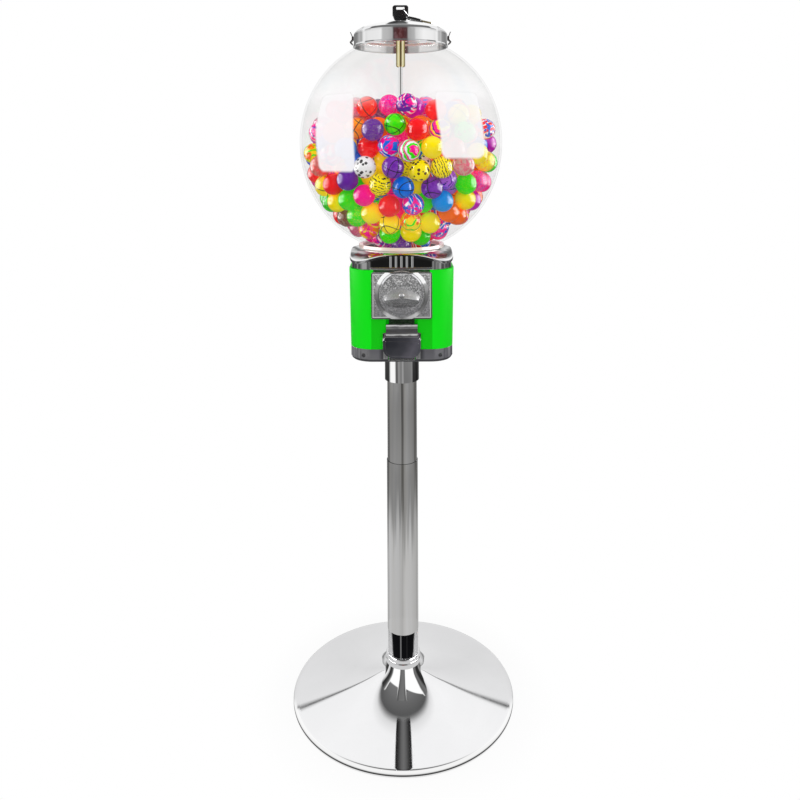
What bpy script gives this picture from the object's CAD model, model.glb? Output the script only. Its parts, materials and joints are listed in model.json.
import bpy, bmesh, json, math, random
import numpy as np
from mathutils import Vector, Matrix, noise

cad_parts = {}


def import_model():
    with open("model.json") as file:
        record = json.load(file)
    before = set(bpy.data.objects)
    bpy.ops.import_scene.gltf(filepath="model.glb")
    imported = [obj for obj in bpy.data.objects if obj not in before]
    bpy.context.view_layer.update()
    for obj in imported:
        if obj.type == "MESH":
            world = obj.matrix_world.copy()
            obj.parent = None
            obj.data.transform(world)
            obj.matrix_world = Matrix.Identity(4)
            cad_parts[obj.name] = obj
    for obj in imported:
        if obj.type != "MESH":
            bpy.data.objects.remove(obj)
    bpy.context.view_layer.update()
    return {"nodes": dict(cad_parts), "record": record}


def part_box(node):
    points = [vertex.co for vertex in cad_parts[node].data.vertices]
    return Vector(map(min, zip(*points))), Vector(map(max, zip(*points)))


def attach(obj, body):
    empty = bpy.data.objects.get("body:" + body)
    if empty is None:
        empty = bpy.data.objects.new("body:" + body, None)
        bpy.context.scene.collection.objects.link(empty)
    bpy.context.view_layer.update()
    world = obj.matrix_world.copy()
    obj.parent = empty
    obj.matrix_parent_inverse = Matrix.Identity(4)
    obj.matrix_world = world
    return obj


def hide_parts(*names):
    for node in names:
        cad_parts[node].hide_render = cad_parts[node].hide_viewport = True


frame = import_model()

MM = 0.001
scene = bpy.context.scene
NODES = frame["nodes"]
PI = math.pi


# ------------------------------------------------------------------ node helpers
class Mat:
    """A small builder of node materials."""

    def __init__(self, name):
        self.m = bpy.data.materials.new(name)
        self.m.use_nodes = True
        self.t = self.m.node_tree
        self.t.nodes.clear()
        self.out = self.t.nodes.new("ShaderNodeOutputMaterial")

    def n(self, kind, **kw):
        nd = self.t.nodes.new(kind)
        ins = kw.pop("ins", {})
        for k, v in kw.items():
            setattr(nd, k, v)
        for k, v in ins.items():
            if isinstance(v, bpy.types.NodeSocket):
                self.t.links.new(v, nd.inputs[k])
            else:
                nd.inputs[k].default_value = v
        return nd

    def link(self, a, b):
        self.t.links.new(a, b)

    def math(self, op, a, b=0.0, c=0.0, clamp=False):
        nd = self.t.nodes.new("ShaderNodeMath")
        nd.operation = op
        nd.use_clamp = clamp
        for i, v in enumerate((a, b, c)):
            if isinstance(v, bpy.types.NodeSocket):
                self.t.links.new(v, nd.inputs[i])
            else:
                nd.inputs[i].default_value = v
        return nd.outputs[0]

    def ramp(self, fac, stops, interp="LINEAR"):
        nd = self.t.nodes.new("ShaderNodeValToRGB")
        cr = nd.color_ramp
        cr.interpolation = interp
        while len(cr.elements) > 1:
            cr.elements.remove(cr.elements[-1])
        for i, (p, c) in enumerate(stops):
            e = cr.elements[0] if i == 0 else cr.elements.new(p)
            e.position = p
            e.color = (c, c, c, 1) if isinstance(c, (int, float)) else (*c, 1)
        if fac is not None:
            self.t.links.new(fac, nd.inputs[0])
        return nd.outputs[0]

    def mix(self, fac, a, b):
        nd = self.t.nodes.new("ShaderNodeMix")
        nd.data_type = "RGBA"
        for k, v in ((0, fac), (6, a), (7, b)):
            if isinstance(v, bpy.types.NodeSocket):
                self.t.links.new(v, nd.inputs[k])
            elif k == 0:
                nd.inputs[k].default_value = v
            else:
                nd.inputs[k].default_value = (*v, 1) if len(v) == 3 else v
        return nd.outputs[2]

    def maprange(self, v, a, b, c, d, smooth=False):
        nd = self.t.nodes.new("ShaderNodeMapRange")
        nd.interpolation_type = "SMOOTHSTEP" if smooth else "LINEAR"
        self.t.links.new(v, nd.inputs[0])
        for i, x in enumerate((a, b, c, d)):
            nd.inputs[i + 1].default_value = x
        return nd.outputs[0]

    def coords(self, scale=(1, 1, 1)):
        tc = self.t.nodes.new("ShaderNodeTexCoord")
        mp = self.t.nodes.new("ShaderNodeMapping")
        mp.inputs["Scale"].default_value = scale
        self.t.links.new(tc.outputs["Object"], mp.inputs[0])
        return mp.outputs[0]

    def noise(self, vec, scale, detail=3, rough=0.5, dist=0.0):
        nd = self.t.nodes.new("ShaderNodeTexNoise")
        self.t.links.new(vec, nd.inputs["Vector"])
        nd.inputs["Scale"].default_value = scale
        nd.inputs["Detail"].default_value = detail
        nd.inputs["Roughness"].default_value = rough
        nd.inputs["Distortion"].default_value = dist
        return nd.outputs["Fac"]

    def bump(self, h, strength, dist, normal=None):
        nd = self.t.nodes.new("ShaderNodeBump")
        nd.inputs["Strength"].default_value = strength
        nd.inputs["Distance"].default_value = dist
        self.t.links.new(h, nd.inputs["Height"])
        if normal is not None:
            self.t.links.new(normal, nd.inputs["Normal"])
        return nd.outputs[0]

    def bsdf(self, **ins):
        nd = self.t.nodes.new("ShaderNodeBsdfPrincipled")
        for k, v in ins.items():
            k = k.replace("_", " ")
            if isinstance(v, bpy.types.NodeSocket):
                self.t.links.new(v, nd.inputs[k])
            else:
                nd.inputs[k].default_value = (*v, 1) if isinstance(v, tuple) and len(v) == 3 else v
        return nd

    def done(self, shader):
        self.t.links.new(shader, self.out.inputs[0])
        return self.m


def polar(M, vec):
    """(angle / 2 pi, radius, z) of the object coordinates, for marks that follow a lathe."""
    s = M.t.nodes.new("ShaderNodeSeparateXYZ")
    M.link(vec, s.inputs[0])
    a = M.math("DIVIDE", M.math("ARCTAN2", s.outputs[1], s.outputs[0]), 2 * PI)
    r = M.math("SQRT", M.math("ADD", M.math("MULTIPLY", s.outputs[0], s.outputs[0]), M.math("MULTIPLY", s.outputs[1], s.outputs[1])))
    return a, r, s.outputs[2]


def turned(M):
    """How far the surface faces to the right (+1) or left (-1) of whoever looks at it, level directions only."""
    g = M.t.nodes.new("ShaderNodeNewGeometry")
    n = M.t.nodes.new("ShaderNodeSeparateXYZ"); M.link(g.outputs["Normal"], n.inputs[0])
    i = M.t.nodes.new("ShaderNodeSeparateXYZ"); M.link(g.outputs["Incoming"], i.inputs[0])
    a = M.math("SUBTRACT", M.math("MULTIPLY", n.outputs[1], i.outputs[0]), M.math("MULTIPLY", n.outputs[0], i.outputs[1]))
    ln = M.math("SQRT", M.math("ADD", M.math("MULTIPLY", n.outputs[0], n.outputs[0]), M.math("MULTIPLY", n.outputs[1], n.outputs[1])))
    li = M.math("SQRT", M.math("ADD", M.math("MULTIPLY", i.outputs[0], i.outputs[0]), M.math("MULTIPLY", i.outputs[1], i.outputs[1])))
    return M.math("DIVIDE", a, M.math("MAXIMUM", M.math("MULTIPLY", ln, li), 1e-4)), n.outputs[2], i.outputs[2]


def studio_bands(M, stops, wobble=0.02):
    """Tones of the studio as a turned surface shows them: a ramp over turned(), slightly wavy as rolled metal is."""
    t, nz, iz = turned(M)
    w = M.noise(M.coords((1, 1, 0.25)), 26.0, 3, 0.55)
    f = M.math("ADD", M.maprange(t, -1.0, 1.0, 0.0, 1.0), M.maprange(w, 0.3, 0.7, -wobble, wobble))
    return M.ramp(f, [((p + 1) / 2, c) for p, c in stops])


def over(M, shader, tone, fac):
    """Lays a studio tone over a shader."""
    e = M.n("ShaderNodeEmission", ins={1: 1.0})
    M.link(tone, e.inputs[0])
    mx = M.n("ShaderNodeMixShader")
    if isinstance(fac, bpy.types.NodeSocket):
        M.link(fac, mx.inputs[0])
    else:
        mx.inputs[0].default_value = fac
    M.link(shader, mx.inputs[1]); M.link(e.outputs[0], mx.inputs[2])
    return mx.outputs[0]


def chrome(name, tone=0.86, rough=0.035, marks="round", strength=0.12, tint=(1, 1, 1.01), seen=None, streak=0.0, bands=None):
    """Plated metal: a mirror broken by fine polishing marks, smudges and a trace of dust."""
    M = Mat(name)
    v = M.coords()
    a, r, z = polar(M, v)
    c = M.t.nodes.new("ShaderNodeCombineXYZ")
    if marks == "round":      # rings round the axis, as spinning leaves them
        M.link(M.math("MULTIPLY", a, 3.0), c.inputs[0]); M.link(M.math("MULTIPLY", r, 900.0), c.inputs[1]); M.link(M.math("MULTIPLY", z, 900.0), c.inputs[2])
    elif marks == "long":     # drawn tube: marks run along it
        M.link(M.math("MULTIPLY", a, 260.0), c.inputs[0]); M.link(M.math("MULTIPLY", r, 5.0), c.inputs[1]); M.link(M.math("MULTIPLY", z, 9.0), c.inputs[2])
    else:                     # cast and buffed: no direction
        s = M.t.nodes.new("ShaderNodeSeparateXYZ"); M.link(v, s.inputs[0])
        for i in range(3):
            M.link(M.math("MULTIPLY", s.outputs[i], 120.0), c.inputs[i])
    fine = M.noise(c.outputs[0], 1.0, 4, 0.6)
    smudge = M.noise(v, 14.0, 5, 0.62, 0.6)
    dust = M.noise(v, 900.0, 2, 0.5)
    base = M.mix(M.maprange(smudge, 0.35, 0.75, 0.0, 1.0), tuple(tone * t * 0.965 for t in tint), tuple(tone * t for t in tint))
    base = M.mix(M.maprange(dust, 0.72, 0.8, 0.0, 0.25), base, (0.75, 0.75, 0.76))
    if streak:                # long soft streaks left by drawing and polishing the tube
        sc = M.t.nodes.new("ShaderNodeCombineXYZ")
        M.link(M.math("MULTIPLY", a, 46.0), sc.inputs[0]); M.link(M.math("MULTIPLY", z, 2.2), sc.inputs[2])
        st = M.noise(sc.outputs[0], 1.0, 5, 0.62, 0.3)
        base = M.mix(M.maprange(st, 0.36, 0.64, streak, 0.0), base, (0.12, 0.12, 0.12))
    ro = M.math("ADD", M.maprange(smudge, 0.4, 0.8, rough * 0.7, rough * 2.2), M.maprange(fine, 0.3, 0.7, 0.0, rough * 0.8))
    nrm = M.bump(fine, strength, 0.00002)
    if marks == "cast":
        nrm = M.bump(M.noise(v, 38.0, 2, 0.5), 0.22, 0.0006, nrm)
    b = M.bsdf(Base_Color=base, Metallic=1.0, Roughness=ro, Normal=nrm)
    sh = b.outputs[0]
    if bands:
        sh = bands(M, sh, v, (a, r, z))
    if seen is None:
        return M.done(sh)
    # how the piece looks when another mirror shows it: a plain tone, darker towards its edges
    lw = M.n("ShaderNodeLayerWeight", ins={"Blend": 0.5})
    e = M.n("ShaderNodeEmission", ins={1: 1.0})
    far = e.outputs[0]
    if callable(seen):
        tone_, there = seen(M, lw.outputs["Facing"])
        M.link(tone_, e.inputs[0])
        if there is not None:
            cl = M.n("ShaderNodeBsdfTransparent", ins={"Color": (1, 1, 1, 1)})
            mt = M.n("ShaderNodeMixShader", ins={0: there})
            M.link(cl.outputs[0], mt.inputs[1]); M.link(e.outputs[0], mt.inputs[2])
            far = mt.outputs[0]
    else:
        M.link(M.ramp(lw.outputs["Facing"], seen), e.inputs[0])
    lp = M.n("ShaderNodeLightPath")
    mx = M.n("ShaderNodeMixShader", ins={0: lp.outputs["Is Glossy Ray"]})
    M.link(sh, mx.inputs[1]); M.link(far, mx.inputs[2])
    return M.done(mx.outputs[0])


def pole_bands(M, sh, v, prz):
    """Tube: dark lines at both edges and in the middle; grey above, pale lower down."""
    up = studio_bands(M, [(-1.0, 0.16), (-0.93, 0.05), (-0.82, 0.2), (-0.5, 0.23), (-0.2, 0.2), (-0.1, 0.2), (-0.05, 0.04), (0.06, 0.05), (0.13, 0.22), (0.3, 0.27), (0.62, 0.19), (0.76, 0.17), (0.84, 0.04), (0.93, 0.06), (1.0, 0.25)], 0.012)
    lo = studio_bands(M, [(-1.0, 0.5), (-0.95, 0.34), (-0.88, 0.52), (-0.3, 0.47), (-0.04, 0.4), (0.1, 0.53), (0.5, 0.5), (0.84, 0.42), (0.94, 0.36), (1.0, 0.5)], 0.02)
    z = prz[2]
    n1 = M.noise(M.coords((170, 170, 2.5)), 1.0, 4, 0.65)
    zz = M.math("ADD", z, M.maprange(n1, 0.3, 0.7, -0.075, 0.075))
    k = M.maprange(zz, 0.215, 0.31, 0.0, 1.0, True)
    col = M.mix(k, lo, up)
    n2 = M.noise(M.coords((150, 150, 3.0)), 1.0, 4, 0.6)
    col = M.mix(M.maprange(n2, 0.35, 0.7, 0.0, 0.3), col, (0.36, 0.34, 0.3))
    return over(M, sh, col, 0.85)


def ferrule_bands(M, sh, v, prz):
    """Short turned band: black flanks, a white window on the left, greys on the right."""
    col = studio_bands(M, [(-1.0, 0.2), (-0.96, 0.03), (-0.76, 0.02), (-0.70, 0.5), (-0.66, 1.0), (-0.42, 1.0), (-0.37, 0.3), (-0.33, 0.06), (-0.26, 0.12), (-0.2, 0.3), (-0.05, 0.18), (0.05, 0.36), (0.12, 0.17), (0.28, 0.17), (0.5, 0.19), (0.58, 0.24), (0.64, 0.02), (0.9, 0.004), (0.96, 0.05), (1.0, 0.3)], 0.006)
    return over(M, sh, col, 0.92)


def collar_tone(M, facing):
    return M.ramp(facing, [(0.0, 0.6), (1.0, 0.72)]), None


# what stands behind, by height over distance: a light wall, a thin dark seam, a white ceiling and dark beyond it
TURNS = []     # the studio stands round the camera, as on a turntable: these nodes follow its heading


def in_studio(M, vec):
    r = M.t.nodes.new("ShaderNodeVectorRotate")
    r.rotation_type = "Z_AXIS"
    M.link(vec, r.inputs[0])
    TURNS.append((M.t, r))
    return r.outputs[0]


BACK = [(0.0, 0.83), (0.1, 0.77), (0.1905, 0.85), (0.1925, 0.1), (0.197, 0.08), (0.2, 0.97), (0.3, 1.0), (0.385, 0.98), (0.43, 0.78), (0.462, 0.3), (0.485, 0.1), (0.56, 0.13), (0.75, 0.17), (1.0, 0.19)]


def pole_seen(M, facing):
    """The pole in the dish: one slim dark strip down the front, and the studio's own tone near the neck."""
    t, nz, iz = turned(M)
    g = M.t.nodes.new("ShaderNodeNewGeometry")
    i = M.t.nodes.new("ShaderNodeSeparateXYZ"); M.link(in_studio(M, g.outputs["Incoming"]), i.inputs[0])
    w = M.noise(M.coords((150, 150, 6)), 1.0, 4, 0.6)
    at = M.math("ADD", M.math("ABSOLUTE", t), M.maprange(w, 0.3, 0.7, -0.03, 0.03))
    col = M.ramp(at, [(0.0, 0.17), (0.2, 0.13), (0.42, 0.05), (0.6, 0.018), (1.0, 0.018)])
    q = M.math("DIVIDE", i.outputs[2], M.math("MINIMUM", i.outputs[1], -1e-4))
    steep = M.maprange(q, 1.74, 1.9, 1.0, 0.0)
    slim = M.maprange(M.math("ABSOLUTE", t), 0.70, 0.76, 1.0, 0.0)
    ahead = M.math("LESS_THAN", i.outputs[1], 0.0)
    return col, M.math("MULTIPLY", M.math("MULTIPLY", slim, steep), ahead)


def dish_bands(M, sh, v, prz):
    """Trumpet foot: two white windows and black flanks on the steep neck, grey below them."""
    t, nz, iz = turned(M)
    r = M.math("MULTIPLY", prz[1], 1000.0)
    w = M.noise(v, 30.0, 3, 0.5)
    t = M.math("ADD", t, M.maprange(w, 0.3, 0.7, -0.02, 0.02))
    neck = M.ramp(M.maprange(t, -1.0, 1.0, 0.0, 1.0), [(0.0, 0.5), (0.04, 0.05), (0.075, 0.03), (0.09, 0.9), (0.11, 0.6), (0.135, 0.02), (0.175, 0.05), (0.2, 0.16), (0.225, 1.0), (0.4, 1.0), (0.415, 0.06), (0.44, 0.15), (0.51, 0.17), (0.53, 0.06), (0.55, 1.0), (0.775, 1.0), (0.79, 0.12), (0.83, 0.16), (0.86, 0.02), (0.91, 0.03), (0.93, 0.3), (0.97, 0.12), (1.0, 0.6)])
    # where the windows end: lower on the right than on the left
    end = M.ramp(M.maprange(t, -1.0, 1.0, 0.0, 1.0), [(0.0, 0.27), (0.05, 0.29), (0.08, 0.33), (0.12, 0.43), (0.2, 0.5), (0.222, 0.5), (0.226, 0.37), (0.4, 0.42), (0.412, 0.6), (0.538, 0.6), (0.55, 0.44), (0.65, 0.49), (0.772, 0.56), (0.78, 0.6), (0.83, 0.56), (0.88, 0.43), (0.92, 0.33), (0.95, 0.29), (1.0, 0.27)])
    k = M.math("SUBTRACT", M.math("MULTIPLY", end, 100.0), r)
    near = M.maprange(k, -0.8, 0.8, 0.0, 1.0)
    # seen from above and in front only: the side that faces the eye
    g = M.t.nodes.new("ShaderNodeNewGeometry")
    d = M.n("ShaderNodeVectorMath", operation="DOT_PRODUCT"); 
    h = M.n("ShaderNodeVectorMath", operation="MULTIPLY", ins={1: (1, 1, 0)}); M.link(g.outputs["Normal"], h.inputs[0])
    M.link(h.outputs[0], d.inputs[0]); M.link(g.outputs["Incoming"], d.inputs[1])
    face = M.maprange(d.outputs["Value"], 0.0, 0.05, 0.0, 1.0)
    upw = M.maprange(prz[2], 0.01, 0.02, 0.0, 1.0)
    fac = M.math("MULTIPLY", M.math("MULTIPLY", near, face), upw)
    sh = over(M, sh, neck, fac)
    # the rolled rim: a dark line, a light band and a dark line above the floor
    edge = M.math("MULTIPLY", M.maprange(r, 161.6, 162.6, 0.0, 1.0), face)
    lines = M.ramp(M.maprange(M.math("MULTIPLY", prz[2], 1000.0), 0.0, 8.0, 0.0, 1.0), [(0.0, 0.02), (0.1, 0.03), (0.15, 0.6), (0.2, 0.88), (0.27, 0.85), (0.33, 0.08), (0.36, 0.02), (0.52, 0.03), (0.57, 0.4), (0.64, 0.86), (0.8, 0.95), (1.0, 0.97)])
    return over(M, sh, lines, M.math("MULTIPLY", edge, 0.94))


def cast_bands(M, sh, v, prz):
    """Square castings: a dark front and upright streaks round the corners."""
    s = M.t.nodes.new("ShaderNodeSeparateXYZ")
    t, nz, iz = turned(M)
    # bands only on upright walls
    up = M.maprange(M.math("ABSOLUTE", nz), 0.5, 0.62, 1.0, 0.0)
    col = studio_bands(M, [(-1.0, 0.3), (-0.97, 0.01), (-0.9, 0.008), (-0.87, 0.06), (-0.84, 0.01), (-0.78, 0.04), (-0.74, 0.25), (-0.70, 0.04), (-0.64, 0.02), (-0.58, 0.12), (-0.5, 0.32), (-0.34, 0.3), (-0.25, 0.02), (-0.2, 0.16), (-0.16, 0.1), (-0.1, 0.009), (0.1, 0.009), (0.14, 0.25), (0.19, 0.2), (0.24, 0.02), (0.32, 0.2), (0.4, 0.1), (0.5, 0.36), (0.56, 0.03), (0.64, 0.012), (0.7, 0.2), (0.74, 0.02), (0.86, 0.07), (0.9, 0.008), (0.97, 0.01), (1.0, 0.4)], 0.006)
    sh = over(M, sh, col, M.math("MULTIPLY", up, 0.85))
    # the rounded shoulders carry long dark and pale streaks that sweep round the neck
    p = M.t.nodes.new("ShaderNodeSeparateXYZ"); M.link(v, p.inputs[0])
    wv = M.noise(M.coords((9, 14, 30)), 1.0, 3, 0.6)
    rad = M.math("ADD", M.math("MULTIPLY", prz[1], 1000.0), M.maprange(wv, 0.3, 0.7, -9.0, 9.0))
    st = M.ramp(M.maprange(rad, 58.0, 104.0, 0.0, 1.0), [(0.0, 0.5), (0.12, 0.66), (0.2, 0.14), (0.26, 0.06), (0.32, 0.42), (0.43, 0.62), (0.5, 0.2), (0.57, 0.03), (0.64, 0.05), (0.7, 0.36), (0.82, 0.5), (0.9, 0.2), (1.0, 0.1)])
    shoulder = M.math("MULTIPLY", M.maprange(nz, 0.66, 0.78, 0.0, 1.0), M.maprange(M.math("ABSOLUTE", p.outputs[0]), 0.044, 0.058, 0.0, 0.8, True))
    sh = over(M, sh, st, shoulder)
    # a bright brim line where the shoulder turns down
    brim = M.math("MULTIPLY", M.math("MULTIPLY", M.maprange(nz, 0.5, 0.6, 0.0, 1.0), M.maprange(nz, 0.7, 0.8, 1.0, 0.0)), M.maprange(M.math("ABSOLUTE", t), 0.04, 0.2, 0.0, 1.0))
    one = M.n("ShaderNodeRGB"); one.outputs[0].default_value = (0.95, 0.95, 0.96, 1)
    return over(M, sh, one.outputs[0], M.math("MULTIPLY", brim, 0.8))


def rib_bands(M, sh, v, prz):
    """Rounded ribs: two bright lines with a grey back between them."""
    col = studio_bands(M, [(-1.0, 0.02), (-0.8, 0.12), (-0.5, 0.62), (-0.25, 0.3), (0.0, 0.2), (0.25, 0.24), (0.5, 0.42), (0.8, 0.06), (1.0, 0.02)], 0.01)
    return over(M, sh, col, 0.9)


def door_bands(M, sh, v, prz):
    """Chute door: slate grey, darker to the left and at the top."""
    p = M.t.nodes.new("ShaderNodeSeparateXYZ"); M.link(v, p.inputs[0])
    g = M.n("ShaderNodeNewGeometry")
    n = M.t.nodes.new("ShaderNodeSeparateXYZ"); M.link(g.outputs["Normal"], n.inputs[0])
    w = M.noise(M.coords((1, 1, 1)), 34.0, 3, 0.55)
    f = M.math("ADD", M.math("ADD", M.maprange(p.outputs[0], -0.027, 0.027, 0.0, 1.0), M.maprange(w, 0.3, 0.7, -0.12, 0.12)), M.maprange(p.outputs[2], 0.53, 0.56, 0.12, -0.16))
    col = M.ramp(f, [(0.0, (0.022, 0.023, 0.029)), (0.25, (0.03, 0.031, 0.038)), (0.5, (0.05, 0.05, 0.06)), (0.75, (0.095, 0.09, 0.11)), (1.0, (0.06, 0.06, 0.075))])
    face = M.maprange(M.math("MULTIPLY", n.outputs[1], -1.0), 0.9, 0.98, 0.0, 0.85)
    return over(M, sh, col, face)


def bezel_bands(M, sh, v, prz):
    """Ring round the dial: a white window on each upper side, dark between and soft grey below."""
    p = M.t.nodes.new("ShaderNodeSeparateXYZ"); M.link(v, p.inputs[0])
    a = M.math("MULTIPLY", M.math("ARCTAN2", M.math("SUBTRACT", p.outputs[2], 0.621), M.math("ABSOLUTE", p.outputs[0])), 180 / PI)
    w = M.noise(M.coords((1, 1, 1)), 90.0, 3, 0.6)
    a = M.math("ADD", a, M.maprange(w, 0.3, 0.7, -2.0, 2.0))
    col = M.ramp(M.maprange(a, -90.0, 90.0, 0.0, 1.0), [(0.0, 0.16), (0.1, 0.45), (0.2, 0.5), (0.26, 0.14), (0.4, 0.1), (0.5, 0.16), (0.56, 0.32), (0.6, 0.3), (0.625, 0.4), (0.645, 1.0), (0.835, 1.0), (0.85, 0.3), (0.865, 0.012), (0.9, 0.02), (0.92, 0.2), (1.0, 0.22)])
    front = M.maprange(p.outputs[1], -0.0803, -0.0801, 1.0, 0.0)
    return over(M, sh, col, M.math("MULTIPLY", front, 0.9))


def handle_bands(M, sh, v, prz):
    """Wing handle: pale top facets with a bright right shoulder, dark lower facets."""
    p = M.t.nodes.new("ShaderNodeSeparateXYZ"); M.link(v, p.inputs[0])
    g = M.n("ShaderNodeNewGeometry")
    n = M.t.nodes.new("ShaderNodeSeparateXYZ"); M.link(g.outputs["Normal"], n.inputs[0])
    w = M.noise(M.coords((1, 1, 1)), 320.0, 3, 0.6)
    x = M.maprange(p.outputs[0], -0.026, 0.026, 0.0, 1.0)
    top = M.ramp(M.math("ADD", x, M.maprange(w, 0.3, 0.7, -0.05, 0.05)), [(0.0, 0.85), (0.05, 0.5), (0.12, 0.27), (0.3, 0.22), (0.45, 0.26), (0.58, 0.3), (0.72, 0.42), (0.8, 0.36), (0.9, 0.45), (0.96, 0.9), (1.0, 0.95)])
    low = M.ramp(M.math("ADD", x, M.maprange(w, 0.3, 0.7, -0.08, 0.08)), [(0.0, 0.4), (0.06, 0.075), (0.3, 0.05), (0.6, 0.06), (0.9, 0.045), (0.96, 0.08), (1.0, 0.3)])
    col = M.mix(M.maprange(n.outputs[2], -0.06, 0.12, 0.0, 1.0), low, top)
    # the ridge between them catches the light
    rid = M.math("MULTIPLY", M.maprange(n.outputs[2], -0.05, 0.05, 0.0, 1.0), M.maprange(n.outputs[2], 0.1, 0.2, 1.0, 0.0))
    col = M.mix(M.math("MULTIPLY", rid, 0.55), col, (0.85, 0.85, 0.87))
    col = M.mix(M.maprange(w, 0.42, 0.62, 0.0, 0.22), col, (0.5, 0.5, 0.52))
    return over(M, sh, col, 0.72)


def rod_bands(M, sh, v, prz):
    """Bright thin rod: pale sides and a dark line down the middle."""
    col = studio_bands(M, [(-1.0, 0.72), (-0.86, 0.6), (-0.74, 0.84), (-0.36, 0.86), (-0.24, 0.3), (-0.14, 0.05), (0.1, 0.04), (0.2, 0.3), (0.32, 0.86), (0.74, 0.84), (0.86, 0.6), (1.0, 0.72)], 0.03)
    return over(M, sh, col, 0.92)


def brass_bands(M, sh, v, prz):
    col = studio_bands(M, [(-1.0, (0.1, 0.08, 0.03)), (-0.88, (0.14, 0.1, 0.04)), (-0.76, (0.5, 0.44, 0.2)), (-0.5, (0.92, 0.88, 0.6)), (-0.3, (0.85, 0.76, 0.4)), (-0.16, (0.3, 0.22, 0.08)), (-0.06, (0.05, 0.035, 0.015)), (0.1, (0.06, 0.045, 0.02)), (0.2, (0.4, 0.32, 0.12)), (0.36, (0.95, 0.92, 0.66)), (0.62, (0.8, 0.72, 0.38)), (0.8, (0.3, 0.24, 0.1)), (0.9, (0.1, 0.08, 0.03)), (1.0, (0.12, 0.09, 0.04))], 0.02)
    return over(M, sh, col, 0.85)


def tray_bands(M, sh, v, prz):
    """The tray: a mid grey with a lilac cast in front, a few thin dark lines at the corners, dark under its lower edge."""
    t, nz, iz = turned(M)
    up = M.maprange(M.math("ABSOLUTE", nz), 0.35, 0.55, 1.0, 0.0)
    col = studio_bands(M, [(-1.0, 0.3), (-0.97, 0.17), (-0.86, 0.2), (-0.8, 0.13), (-0.74, 0.16), (-0.7, 0.02), (-0.66, 0.24), (-0.6, 0.1), (-0.5, 0.15), (-0.3, 0.14), (-0.02, 0.145), (0.02, 0.12), (0.1, 0.12), (0.3, 0.15), (0.42, 0.14), (0.48, 0.16), (0.6, 0.12), (0.66, 0.03), (0.7, 0.12), (0.78, 0.07), (0.84, 0.22), (0.9, 0.25), (0.94, 0.02), (1.0, 0.1)], 0.01)
    n1 = M.noise(M.coords((1, 1, 1)), 16.0, 3, 0.6)
    col = M.mix(M.maprange(n1, 0.35, 0.65, 0.1, 0.6), col, (0.105, 0.1, 0.135))
    sx = M.t.nodes.new("ShaderNodeSeparateXYZ"); M.link(v, sx.inputs[0])
    # darker near the outlet and under the lower edge
    mid = M.maprange(M.math("ABSOLUTE", sx.outputs[0]), 0.0285, 0.0335, 1.0, 0.0)
    col = M.mix(mid, col, (0.045, 0.045, 0.05))
    sh = over(M, sh, col, M.math("MULTIPLY", up, 0.85))
    low = M.math("MULTIPLY", M.maprange(nz, -0.3, -0.05, 1.0, 0.0), M.maprange(sx.outputs[2], 0.5258, 0.5262, 1.0, 0.0))
    dk = M.n("ShaderNodeRGB"); dk.outputs[0].default_value = (0.03, 0.03, 0.033, 1)
    return over(M, sh, dk.outputs[0], M.math("MULTIPLY", low, 0.85))


def lid_bands(M, sh, v, prz):
    """Lid: near white to the sides, grey with a warm middle, and a dark patch on the crown below the key."""
    t, nz, iz = turned(M)
    up = M.maprange(M.math("ABSOLUTE", nz), 0.25, 0.45, 1.0, 0.0)
    col = studio_bands(M, [(-1.0, 0.5), (-0.98, 0.1), (-0.93, 0.15), (-0.88, 0.42), (-0.84, 0.3), (-0.8, 0.82), (-0.5, 0.86), (-0.42, 0.9), (-0.38, 0.5), (-0.18, 0.45), (-0.15, 0.1), (0.13, 0.1), (0.17, 0.4), (0.3, 0.44), (0.34, 0.7), (0.5, 0.95), (0.78, 0.86), (0.82, 0.4), (0.86, 0.5), (0.9, 0.2), (0.97, 0.12), (1.0, 0.5)], 0.006)
    warm = M.maprange(M.math("ABSOLUTE", t), 0.13, 0.17, 1.0, 0.0)
    nn = M.noise(M.coords((1, 1, 0.5)), 120.0, 3, 0.6)
    col = M.mix(warm, col, M.mix(M.maprange(nn, 0.4, 0.6, 0.0, 1.0), (0.07, 0.018, 0.02), (0.2, 0.1, 0.11)))
    sh = over(M, sh, col, M.math("MULTIPLY", up, 0.85))
    # crown: white to both sides, dark in the middle
    sx = M.t.nodes.new("ShaderNodeSeparateXYZ"); M.link(v, sx.inputs[0])
    cr = M.math("MULTIPLY", M.maprange(nz, 0.45, 0.6, 0.0, 1.0), M.maprange(sx.outputs[2], 1.0075, 1.0085, 0.0, 1.0))
    nz2 = M.noise(M.coords((1, 1, 1)), 45.0, 4, 0.65)
    tt = M.math("ADD", t, M.maprange(nz2, 0.3, 0.7, -0.12, 0.12))
    cc = M.ramp(M.maprange(tt, -1.0, 1.0, 0.0, 1.0), [(0.0, 0.05), (0.06, 0.3), (0.08, 0.95), (0.36, 0.97), (0.385, 0.2), (0.41, 0.03), (0.48, 0.02), (0.53, 0.08), (0.58, 0.06), (0.6, 0.25), (0.63, 0.97), (0.92, 0.97), (0.95, 0.1), (1.0, 0.05)])
    return over(M, sh, cc, M.math("MULTIPLY", cr, 0.95))


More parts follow.
